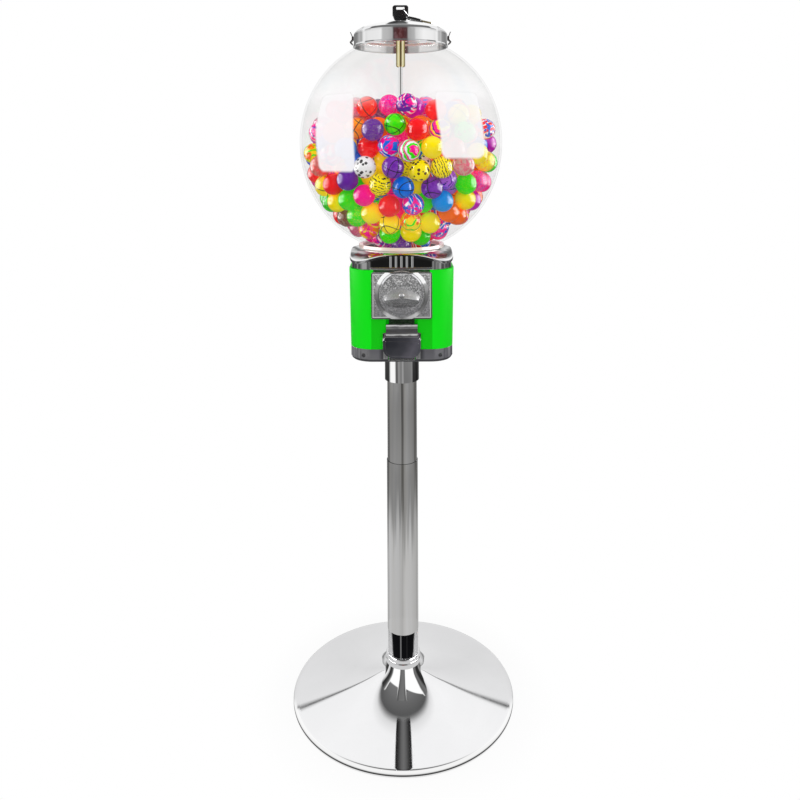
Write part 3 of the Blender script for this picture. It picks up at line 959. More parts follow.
# ------------------------------------------------------------------ head casings
def loft(name, rows, mat, angle=33, cap0=False, cap1=False, closed=False):
    """Skins rings of the same number of points, in mm."""
    bm = bmesh.new()
    vs = [[bm.verts.new((p[0] * MM, p[1] * MM, p[2] * MM)) for p in row] for row in rows]
    n = len(rows[0])
    m = len(rows)
    for i in range(m if closed else m - 1):
        a, b = vs[i], vs[(i + 1) % m]
        for k in range(n):
            q = (k + 1) % n
            bm.faces.new((a[k], a[q], b[q], b[k]))
    if cap0:
        bm.faces.new(vs[0][::-1])
    if cap1:
        bm.faces.new(vs[-1])
    return finish_mesh(bm, name, mat, angle)


def sq_rows(levels, n=14, flats=None):
    fl = flats or (-30, -20, -10, 0, 10, 20, 30)
    rows = []
    for hw, rc, z in levels:
        k = hw - rc
        rows.append([(x, y, z) for x, y in square_ring(hw, rc, n, [f / 40.0 * k for f in fl])])
    return rows


def sq_profile(pts, n=4):
    """Levels of a rounded square from a filleted profile of (offset, z): the half width is the offset and the corner keeps its centre."""
    return fillet(pts, True, n)


def square_part(name, prof, core, mat, n=14, angle=33):
    """A closed profile of (half width, z) carried round a rounded square whose corner arcs are centred at +-core."""
    lv = [(hw, hw - core, z) for hw, z in sq_profile(prof)]
    return loft(name, sq_rows(lv, n), mat, angle, closed=True)


TRAY = 41.4
tray = square_part("body_tray_cast", [(62, 521.8), (70.9, 521.8, 0.5), (71.6, 523.3, 0.4), (72.9, 523.5, 0.4), (73.5, 525.6, 0.5), (74.4, 526.0, 0.5), (74.4, 540.6, 0.5), (72, 540.6, 0.3), (72, 524.8, 1.0), (62, 524.8)], TRAY, TRAY_CAST)
# the floor plate is a rounded square ring of its own; the wall part meets it at 62
floor_ = loft("tray_floor", [[(x * t, y * t, z) for x, y in square_ring(62.05, 20.65, 14, [f / 40.0 * 41.4 for f in (-30, -20, -10, 0, 10, 20, 30)])] for t, z in ((0.09, 521.8), (1, 521.8), (1, 524.8), (0.09, 524.8))], TRAY_CAST, 33, closed=True)
tray = join("body_tray_cast", [tray, floor_])
u = prism("u_tool", [(-19.6, 525.4), (-18.2, 525.0), (18.2, 525.0), (19.6, 525.4), (20.4, 552), (-20.4, 552)], -80, -68, "XZ", TRAY_CAST)
cut(tray, u)
cut(tray, cube([-4, -80, 519], [4, -69.9, 523.4]))
smooth_by(tray, 34)
place(tray, "stand", "cast_chrome", "body_tray")

# the small screws round the tray, each with a slotted round head
screws = []
for sx in (-1, 1):
    for sy in (-1, 1):
        o = lathe("s", [(0, 0), (2.9, 0, 0.2), (3.0, 0.4, 0.2), (2.6, 1.25, 0.6), (1.4, 1.5), (0, 1.55)], SCREW, 40, closed=False)
        cut(o, cube([-2.5, -0.4, 0.85], [2.5, 0.4, 3]))
        smooth_by(o, 40)
        a = math.radians(65.7)
        d = Vector((sx * math.cos(a), sy * math.sin(a), 0))
        rot = d.to_track_quat("Z", "Y").to_matrix()
        o.data.transform(Matrix.Translation(Vector((sx * 41.4 * MM, sy * 41.4 * MM, 531.4 * MM)) + d * 33.02 * MM) @ rot.to_4x4())
        screws.append(o)
place(join("tray_screw_heads", screws), "stand", "zinc_steel", "tray_screws")

# green shell: straight sides that widen a little upwards, with the front cut away round the mechanism and the chute
ZS, ZC = 540.7, 654.4


def shell_hw(z, o=0.0):
    return 74.6 + (76.8 - 74.6) * (z - ZS) / (ZC - ZS) - o


zz = [ZS + (ZC - ZS) * i / 16 for i in range(17)]
lv = [(shell_hw(z, 0.35 if i in (0, 16) else 0), 33 - (0.35 if i in (0, 16) else 0), z) for i, z in enumerate(zz)]
lv.insert(1, (shell_hw(ZS + 0.35), 33, ZS + 0.35))
lv.insert(-1, (shell_hw(ZC - 0.35), 33, ZC - 0.35))
inner = [(shell_hw(z, 2), 31, z) for z in zz][::-1]
shell = loft("body_shell_painted", sq_rows(lv + inner), MATS["green_paint"], 33, closed=True)
cut(shell, cube([-40.5, -90, 586.7], [40.5, -60, 670]))
cut(shell, cube([-22.6, -90, 560], [22.6, -60, 600]))
cut(shell, cube([-27.2, -90, 530], [27.2, -60, 560.1]))
md = shell.modifiers.new("rim", "BEVEL"); md.width = 0.45 * MM; md.segments = 3; md.limit_method = "ANGLE"; md.angle_limit = math.radians(50)
bake(shell); smooth_by(shell, 40)
place(shell, "stand", "green_paint", "body_shell")

# collar: a crown that is flat in the middle and rolls over to a thin brim
CR, CZ, CA = 62.0, 634.0, 45.0


def crown(r, o=0.0):
    q = r - CR
    return CZ + math.sqrt(max(0.0, (CA - o) ** 2 - q * q)) if q > 0 else CZ + CA - o


FL = (-36, -30, -20, -10, 0, 10, 20, 30, 36)


def ring_xy(hw, rc, n=20):
    return square_ring(hw, rc, n, [f / 40.0 * (hw - rc) for f in FL])


rim = ring_xy(76, 33)
rows = []
circ = [(59 * x / math.hypot(x, y), 59 * y / math.hypot(x, y)) for x, y in rim]
rows.append([(x, y, 650.5) for x, y in circ])
rows.append([(x, y, 678.5) for x, y in circ])
rows.append([(x * 59.5 / 59, y * 59.5 / 59, 679) for x, y in circ])
for i in range(1, 15):
    t = (i / 14) ** 0.85
    row = []
    for (x, y), (u0, v0) in zip(rim, circ):
        k = 59.5 / 59
        px, py = u0 * k + (x * 0.9935 - u0 * k) * t, v0 * k + (y * 0.9935 - v0 * k) * t
        row.append((px, py, crown(math.hypot(px, py)) - (0.25 if i == 14 else 0)))
    rows.append(row)
rows.append([(x, y, crown(math.hypot(x, y)) - 0.75) for x, y in rim])
rows.append([(x, y, crown(math.hypot(x, y), 2.6) + 0.5) for x, y in rim])
rows.append([(x * 0.996, y * 0.996, crown(math.hypot(x, y), 2.6)) for x, y in rim])
wall_o = ring_xy(73.2, 31.5)
wall_i = ring_xy(70.4, 29)
rows.append([(x * 1.004, y * 1.004, crown(math.hypot(x, y), 2.6) + 0.1) for x, y in wall_o])
rows.append([(x, y, crown(math.hypot(x, y), 2.6) - 0.5) for x, y in wall_o])
for t in (0.25, 0.5, 0.75):
    rows.append([(x, y, (crown(math.hypot(x, y), 2.6) - 0.5) * (1 - t) + 654.8 * t) for x, y in wall_o])
rows.append([(x, y, 654.75) for x, y in wall_o])
rows.append([(x * 0.996, y * 0.996, 654.45) for x, y in wall_o])
rows.append([(x, y, 654.45) for x, y in wall_i])
rows.append([(x, y, min(674.0, crown(math.hypot(x, y), 5))) for x, y in wall_i])
rows.append([(x * 60.5 / 59, y * 60.5 / 59, 674) for x, y in circ])
rows.append([(x * 60.5 / 59, y * 60.5 / 59, 650.5) for x, y in circ])
# the neck well stops at the roof: its skirt is short
rows[0] = [(x, y, 673.9) for x, y in circ]
rows[-1] = [(x * 60.4 / 59, y * 60.4 / 59, 673.9) for x, y in circ]
collar = loft("collar_skin", rows, COLLAR_CAST, 33, closed=True)
extra = []
for i in range(-2, 3):
    o = prism("rib", [(i * 7.8 - 1.9, 657.7), (i * 7.8 + 1.9, 657.7), (i * 7.8 + 1.9, 674.6), (i * 7.8 - 1.9, 674.6)], -76.3, -72, "XZ", RIB)
    add_bevel(o, 1.5, 4)
    extra.append(o)
o = cube([-45, -78.2, 654.8], [45, -72, 658.0], "moulding"); o.data.materials.append(MATS["lid_chrome"])
add_bevel(o, 0.9, 4)
extra.append(o)
collar = join("top_collar_cast", [collar] + extra)
place(collar, "stand", "cast_chrome", "top_collar")


# ------------------------------------------------------------------ chute
hood_s = [(-72.6, 562.6), (-84, 562.6), (-84.8, 563.4), (-84.8, 567.2), (-84, 568.2), (-81.6, 568.8), (-81.2, 569.8), (-81.2, 574.6), (-80.4, 576), (-77.6, 577.2), (-72.6, 577.2)]
hood_f = fillet([(a, b, r) for (a, b), r in zip(hood_s, (0, 0.4, 0.9, 1.4, 0.9, 0.6, 0.8, 1.2, 1.5, 1.2, 0))], True, 5)
hood = prism("hood_band", hood_f, -22.4, 22.4, "YZ", HOOD_CAST)
cut(hood, cube([-19, -76.5, 556], [19, -70, 570]))
smooth_by(hood, 34)
hp = [hood]
for s in (-1, 1):
    x0, x1 = (20.2, 26.6) if s > 0 else (-26.6, -20.2)
    o = cube([x0, -79.8, 528.4], [x1, -76.9, 562.9], "cheek"); o.data.materials.append(MATS["cast_chrome"]); add_bevel(o, 0.5, 3); hp.append(o)
    x0, x1 = (24.8, 27.0) if s > 0 else (-27.0, -24.8)
    o = prism("ear", fillet([(-79, 557.8, 0.3), (-82.9, 557.8, 0.6), (-83.6, 558.8, 0.6), (-83.6, 566, 0.8), (-79, 566, 0.3)], True, 4), x0, x1, "YZ", MATS["cast_chrome"]); hp.append(o)
    x0, x1 = (22, 25.9) if s > 0 else (-25.9, -22)
    o = cube([x0, -80.7, 562.7], [x1, -76.9, 565.9], "block"); o.data.materials.append(MATS["cast_chrome"]); add_bevel(o, 0.3, 2); hp.append(o)
place(join("chute_hood_cast", hp), "stand", "cast_chrome", "chute_hood")


def arc(cx, cy, r, a0, a1, n):
    return [(cx + r * math.cos(math.radians(a0 + (a1 - a0) * i / n)), cy + r * math.sin(math.radians(a0 + (a1 - a0) * i / n))) for i in range(n + 1)]


HZ, HY, DW = 560.4, -81.6, 27.0
door_o = [(-DW + 2.9, HZ), (-DW + 2.9, HZ - 3), (-DW, HZ - 4.7)] + arc(-DW + 14.5, HZ - 16.5, 14.5, 180, 262, 22) + arc(DW - 14.5, HZ - 16.5, 14.5, 278, 360, 22) + [(DW, HZ - 4.7), (DW - 2.9, HZ - 3), (DW - 2.9, HZ)]
panel_o = arc(-DW + 14.5, HZ - 16.5, 11.6, 180, 262, 22) + arc(DW - 14.5, HZ - 16.5, 11.6, 278, 360, 22) + [(DW - 2.9, HZ - 6.2)] + [(-DW + 2.9, HZ - 6.2)]
d1 = prism("leaf", door_o, HY - 0.9, HY + 0.9, "XZ", MATS["door_chrome"]); add_bevel(d1, 0.55, 4, 50)
d2 = prism("panel", panel_o, HY - 1.5, HY - 0.6, "XZ", MATS["door_chrome"]); add_bevel(d2, 0.6, 4, 50)
d3 = lathe("knuckle", [(1.0, -24, 0), (1.75, -24, 0.3), (1.75, 24, 0.3), (1.0, 24, 0)], MATS["door_chrome"], 32, axis="X", org=(0, HY, HZ))
place(join("chute_door_cast", [d1, d2, d3]), "door", "door_chrome", "chute_door")


# ------------------------------------------------------------------ coin mechanism
PY, ZD, DR = -79.8, 621.0, 33.0
plate_o = fillet([(-43.5, 585, 3), (43.5, 585, 3), (43.5, 651.7, 3), (-43.5, 651.7, 3)], True, 6)
plate = prism("plate", plate_o, PY, PY + 3, "XZ", MATS["mech_zinc"])
cyl = lathe("c", [(0, -100), (DR + 0.4, -100), (DR + 0.4, -70), (0, -70)], MATS["mech_zinc"], 128, closed=False, axis="Y", org=(0, 0, ZD))
cut(plate, cyl)
md = plate.modifiers.new("b", "BEVEL"); md.width = 0.4 * MM; md.segments = 3; md.limit_method = "ANGLE"; md.angle_limit = math.radians(50)
bake(plate); smooth_by(plate, 40)
# a raised frame line round the plate
frame_o = fillet([(-42.6, 586, 2.4), (42.6, 586, 2.4), (42.6, 650.8, 2.4), (-42.6, 650.8, 2.4)], True, 6)
frame_i = fillet([(-41.4, 587.2, 1.6), (41.4, 587.2, 1.6), (41.4, 649.6, 1.6), (-41.4, 649.6, 1.6)], True, 6)
rows = []
for o_, y_ in ((frame_o, PY + 0.1), (frame_o, PY - 0.35), (frame_i, PY - 0.35), (frame_i, PY + 0.1)):
    rows.append([(a, y_, b) for a, b in o_])
fr = loft("frame_line", rows, MATS["mech_zinc"], 33, closed=True)
cyl = lathe("c", [(0, -100), (38.0, -100), (38.0, -70), (0, -70)], MATS["mech_zinc"], 96, closed=False, axis="Y", org=(0, 0, ZD))
cut(fr, cyl)
add_bevel(fr, 0.2, 2, 50)
bez = lathe("bezel", [(DR + 0.4, 1.0), (38.4, 1.0), (38.35, -0.5, 0.3), (34.1, -3.7, 0.4), (DR + 0.7, -3.8, 0.2), (DR + 0.4, -3.3)], BEZEL, 160, axis="Y", org=(0, PY, ZD))
cut(bez, cube([-45, -90, 585.4], [45, -70, 651.3]), "INTERSECT")
cut(bez, cube([-17, -100, 646.6], [17, PY + 1.2, 660]))
smooth_by(bez, 34)
lip = cube([-19, PY - 2.2, 649.8], [19, PY + 1, 651.7], "lip"); lip.data.materials.append(MATS["lid_chrome"]); add_bevel(lip, 0.5, 3)
mech = join("mech_plate_cast", [plate, fr, bez, lip])
place(mech, "stand", "mech_zinc", "mech_front_plate")

dial = lathe("dial", [(4.1, 1.8), (DR, 1.8, 0.1), (DR, -1.4, 0.5), (DR - 0.8, -2.2, 0.3), (DR - 2.9, -2.2, 0.3), (DR - 3.6, -1.6, 0.3), (4.1, -1.6)], MATS["mech_zinc"], 160, axis="Y", org=(0, PY, ZD))
cut(dial, cube([-12.6, -100, ZD + 24.6], [12.6, PY - 0.6, ZD + 27.2]))
md = dial.modifiers.new("b", "BEVEL"); md.width = 0.3 * MM; md.segments = 2; md.limit_method = "ANGLE"; md.angle_limit = math.radians(60)
bake(dial); smooth_by(dial, 40)
place(dial, "knob", "mech_zinc", "coin_dial")


# the wing handle: a gabled bar, cast, with soft edges
def handle():
    bm = bmesh.new()
    back = [(-26, -3.4), (-16, 4), (0, 8.8), (16, 4), (26, -3.4), (25.4, -12), (18, -17.6), (0, -20), (-18, -17.6), (-25.4, -12)]
    y0, y1 = PY - 1.62, PY - 3
    pts = []
    for a, b in back:
        pts.append((a * 0.995, y0, b)); pts.append((a, y1, b))
    for a, y, b in ((-23.2, -11.9, -7), (0, -18.6, -2.6), (23.2, -11.9, -7), (-24.2, -10.9, -7), (24.2, -10.9, -7)):
        pts.append((a, PY + y, b))
    vs = [bm.verts.new((a * MM, y * MM, (b + ZD) * MM)) for a, y, b in pts]
    bmesh.ops.convex_hull(bm, input=vs)
    bmesh.ops.dissolve_limit(bm, angle_limit=math.radians(2), verts=bm.verts, edges=bm.edges)
    o = finish_mesh(bm, "coin_handle_cast", MATS["handle_zinc"], 20)
    md = o.modifiers.new("b", "BEVEL"); md.width = 0.7 * MM; md.segments = 3; md.limit_method = "ANGLE"; md.angle_limit = math.radians(12)
    bake(o)
    smooth_by(o, 30)
    cyl = lathe("c", [(0, -110), (3.95, -110), (3.95, PY - 15.8), (0, PY - 15.8)], MATS["handle_zinc"], 48, closed=False, axis="Y", org=(0, 0, ZD))
    cut(o, cyl)
    md = o.modifiers.new("b", "BEVEL"); md.width = 0.25 * MM; md.segments = 2; md.limit_method = "ANGLE"; md.angle_limit = math.radians(60)
    bake(o)
    smooth_by(o, 30)
    return o


place(handle(), "knob", "handle_zinc", "coin_handle")
hs = lathe("handle_screw_head", [(0, PY - 15.9), (3.75, PY - 15.9, 0.1), (3.75, PY - 16.7, 0.3), (2.8, PY - 17.5, 0.6), (0, PY - 17.6)], MATS["handle_zinc"], 48, closed=False, axis="Y", org=(0, 0, ZD))
cut(hs, cube([-2.6, -110, ZD - 0.45], [2.6, PY - 16.7, ZD + 0.45]))
smooth_by(hs, 40)
place(hs, "knob", "zinc_steel", "handle_screw")


# ------------------------------------------------------------------ globe, lid, lock and keys
GA, GT, GB, GZ, GW = 153.5, 160.5, 166.0, 838.5, 3.0


def globe_wall(o, r0, r1, n=44):
    a0, a1 = math.acos(r0 / (GA - o)), math.acos(r1 / (GA - o))
    lo_ = [((GA - o) * math.cos(t), GZ + (GB - o) * math.sin(t)) for t in [-a0 * (1 - i / n) for i in range(n + 1)]]
    hi_ = [((GA - o) * math.cos(t), GZ + (GT - o) * math.sin(t)) for t in [a1 * i / n for i in range(1, n + 1)]]
    return lo_ + hi_


out_ = globe_wall(0, 58, 68)
in_ = globe_wall(GW, 55, 65)
out_ = [(58, 668.2, 0.8)] + [(r, z) if 0 < i < len(out_) - 1 else (r, z, 2.5) for i, (r, z) in enumerate(out_)] + [(68, 994, 1.0)]
in_ = [(65, 994, 1.0)] + [(r, z) if 0 < i < len(in_) - 1 else (r, z, 2.5) for i, (r, z) in enumerate(in_[::-1])] + [(55, 668.2, 0.8)]
place(lathe("globe_shell", out_ + in_, MATS["clear_globe"], 192), "stand", "clear_globe", "globe")
place(lathe("globe_gasket_moulded", [(58.4, 679.05), (64.5, 679.05, 0.3), (65, 680, 0.4), (64.6, 684.5, 0.7), (62, 684.3, 0.5), (58.4, 683.8, 0.3)], MATS["gasket_vinyl"], 128), "stand", "gasket_vinyl", "globe_gasket")

L = 71.8
lid_p = [(9.8, 1020.6), (20, 1019.95), (32, 1018.4), (41, 1016.7), (50, 1014.4), (56, 1012.7), (61, 1010.8, 4), (67.6, 1007.2, 6), (70.6, 1003.6, 3), (L - 0.2, 1000.6, 1.0), (L - 0.5, 999.6, 1.0),
         (L - 0.5, 986.2, 1.0), (L + 0.6, 984.1, 0.7), (L + 0.6, 982.8, 0.4), (L - 1.1, 982.8, 0.3), (L - 1.9, 985.8, 1), (L - 1.9, 999.8, 1), (69, 1002.8), (66.4, 1005.8, 2), (60.6, 1009.4, 3), (50, 1012.8), (32, 1016.9), (9.8, 1019.1)]
place(lathe("lid_spun", lid_p, LID_SPUN, 192, n=6), "lid_set", "lid_chrome", "lid")
fl = lathe("lock_face", [(6.05, 1012), (9.6, 1012), (9.6, 1020.5), (11.45, 1020.65, 0.1), (11.45, 1022.0, 0.3), (10.7, 1022.85, 0.5), (6.6, 1022.9, 0.3), (6.05, 1022.4)], MATS["lid_chrome"], 96)
lb = lathe("lock_body", [(0, 1000), (9.6, 1000, 0.4), (9.6, 1012.2), (6.05, 1012.2), (6.05, 1002), (0, 1002)], MATS["zinc_steel"], 64, closed=False)
place(join("lock_barrel_turned", [fl, lb]), "lid_set", "zinc_steel", "lock_barrel")
sl = lathe("lock_sleeve_brass", [(3.1, 953, 0.2), (5.6, 953, 0.4), (7, 955, 0.6), (7, 968), (7, 978), (7, 992, 0.3), (8.4, 993, 0.4), (8.4, 999.85, 0.2), (3.1, 999.85)], BRASS, 96)
cut(sl, cube([-10, -1.1, 950], [10, 1.1, 978]))
smooth_by(sl, 36)
place(sl, "lid_set", "lock_brass", "lock_sleeve")


def clip(s):
    side = [(L - 0.35, 999.4, 0.3), (L + 1, 999.4, 0.6), (L + 3.8, 1006, 0.4), (L + 5, 1006, 0.4), (L + 2.4, 999.4, 0.8), (L + 2.4, 994.6, 1.5), (L + 6, 990.2, 1.2), (L + 1.6, 987, 0.4), (L + 0.3, 988, 0.4), (L + 4, 990.4, 0.6), (L + 1, 994, 0.8), (L - 0.35, 994, 0.3)]
    f = [(s * a, b) for a, b in fillet(side, True, 4)]
    return prism("clip", f, -6, 6, "XZ", EDGE)


place(join("lid_clips_bent", [clip(1), clip(-1)]), "lid_set", "lid_chrome", "lid_clips")


def bow(name, sw, sh):
    out = arc(8.2, 20.3, 4, 0, 90, 8) + arc(-8.2, 20.3, 4, 90, 180, 8) + fillet([(-12.2, 9), (-9, 1.4, 2), (-6, 0, 1.5), (6, 0, 1.5), (9, 1.4, 2), (12.2, 9)], False, 4)
    o = prism(name, out, -1.5, 1.5, "XZ", MATS["key_plastic"])
    w, h = sw / 2, sh / 2
    t = prism("t", [(a, b + 19.6) for a, b in fillet([(-w, -h, 0.8), (w, -h, 0.8), (w, h, 0.8), (-w, h, 0.8)], True, 4)], -3, 3, "XZ", MATS["key_plastic"])
    cut(o, t)
    md = o.modifiers.new("b", "BEVEL"); md.width = 0.55 * MM; md.segments = 3; md.limit_method = "ANGLE"; md.angle_limit = math.radians(50)
    bake(o); smooth_by(o, 40)
    return o


kh = bow("key_head_moulded", 12.4, 4.2)
kh.data.transform(Matrix.Translation((0, 0, 1023.2 * MM)))
place(kh, "key", "key_plastic", "key_head")
R_ = lambda d, ax: Matrix.Rotation(math.radians(d), 4, ax)
kr = bow("spare_key_moulded", 13, 5)
# the outline above is drawn upright in XZ; the spare's own frame has it flat in XY
kr.data.transform(Matrix.Translation(Vector((14.4, -7, 1026)) * MM) @ R_(80, "Z") @ R_(14, "X") @ Matrix.Translation(Vector((0, -19.6, 0)) * MM) @ R_(-90, "X"))
place(kr, "key", "key_plastic", "spare_key_head")
bm = bmesh.new()
N1, N2 = 72, 14
vs = []
for i in range(N1):
    t = 2 * PI * i / N1
    for k in range(N2):
        q = 2 * PI * k / N2
        r = 11.8 + 0.6 * math.cos(q)
        vs.append(bm.verts.new((r * math.cos(t) * MM, r * math.sin(t) * MM, 0.6 * math.sin(q) * MM)))
for i in range(N1):
    for k in range(N2):
        a, b = i * N2 + k, i * N2 + (k + 1) % N2
        c, d = ((i + 1) % N1) * N2 + (k + 1) % N2, ((i + 1) % N1) * N2 + k
        bm.faces.new((vs[a], vs[b], vs[c], vs[d]))
ring_o = finish_mesh(bm, "key_ring_wire", MATS["zinc_steel"], 40)
ring_o.data.transform(Matrix.Translation(Vector((10.45, 0, 1031.6)) * MM) @ R_(58, "Y"))
place(ring_o, "key", "zinc_steel", "key_ring")



# ------------------------------------------------------------------ balls
BR = 15.5


def ball_shape():
    """Unit-less ball of radius 1: a lathed sphere with the fine raised parting line of its mould."""
    prof = []
    for i in range(1, 10):
        prof.append((-90 + 87.6 * i / 9.0, 1.0))
    lats = [(a, 1.0) for a, _ in prof] + [(-0.9, 1.0), (0.0, 1.0045), (0.9, 1.0)] + [(-a, 1.0) for a, _ in prof[::-1]]
    segs = 34
    v = [(0, 0, -1)]
    for a, r in lats:
        for k in range(segs):
            t = 2 * PI * k / segs
            v.append((r * math.cos(math.radians(a)) * math.cos(t), r * math.cos(math.radians(a)) * math.sin(t), r * math.sin(math.radians(a))))
    v.append((0, 0, 1))
    f = [(0, 1 + (k + 1) % segs, 1 + k) for k in range(segs)]
    for i in range(len(lats) - 1):
        for k in range(segs):
            a, b = 1 + i * segs + k, 1 + i * segs + (k + 1) % segs
            f.append((a, b, b + segs, a + segs))
    e = 1 + (len(lats) - 1) * segs
    n = len(v) - 1
    f += [(e + k, e + (k + 1) % segs, n) for k in range(segs)]
    return np.array(v, float), f


BV, BF = ball_shape()


def centres(node):
    """Middle of every loose ball of a CAD node, in metres."""
    me = NODES[node].data
    co = np.array([v.co for v in me.vertices], float)
    key = {}
    idx = np.empty(len(co), int)
    for i, c in enumerate(np.round(co * 1e5).astype(int)):
        idx[i] = key.setdefault(tuple(c), len(key))
    par = list(range(len(key)))

    def root(a):
        while par[a] != a:
            par[a] = par[par[a]]
            a = par[a]
        return a
    for e in me.edges:
        a, b = root(idx[e.vertices[0]]), root(idx[e.vertices[1]])
        if a != b:
            par[a] = b
    groups = {}
    for i in range(len(co)):
        groups.setdefault(root(idx[i]), []).append(i)
    out = []
    for g in groups.values():
        p = co[g]
        out.append((p.min(0) + p.max(0)) / 2)
    out.sort(key=lambda c: (round(c[2], 5), round(c[0], 5), round(c[1], 5)))
    return out


PINK, MAG, YEL, ORA = (1.0, 0.0, 0.3), (0.56, 0.0, 0.5), (1.0, 0.82, 0.0), (1.0, 0.16, 0.0)
GRN, BLU, RED, PUR = (0.03, 0.8, 0.0), (0.0, 0.13, 0.72), (0.95, 0.004, 0.008), (0.14, 0.012, 0.36)
WHT, CYA, LIM, NAV, COR, LIL = (0.88, 0.88, 0.88), (0.0, 0.3, 0.8), (0.35, 0.9, 0.0), (0.005, 0.015, 0.2), (1.0, 0.03, 0.03), (0.4, 0.12, 0.7)
BLK, BRN = (0.01, 0.01, 0.012), (0.22, 0.06, 0.02)


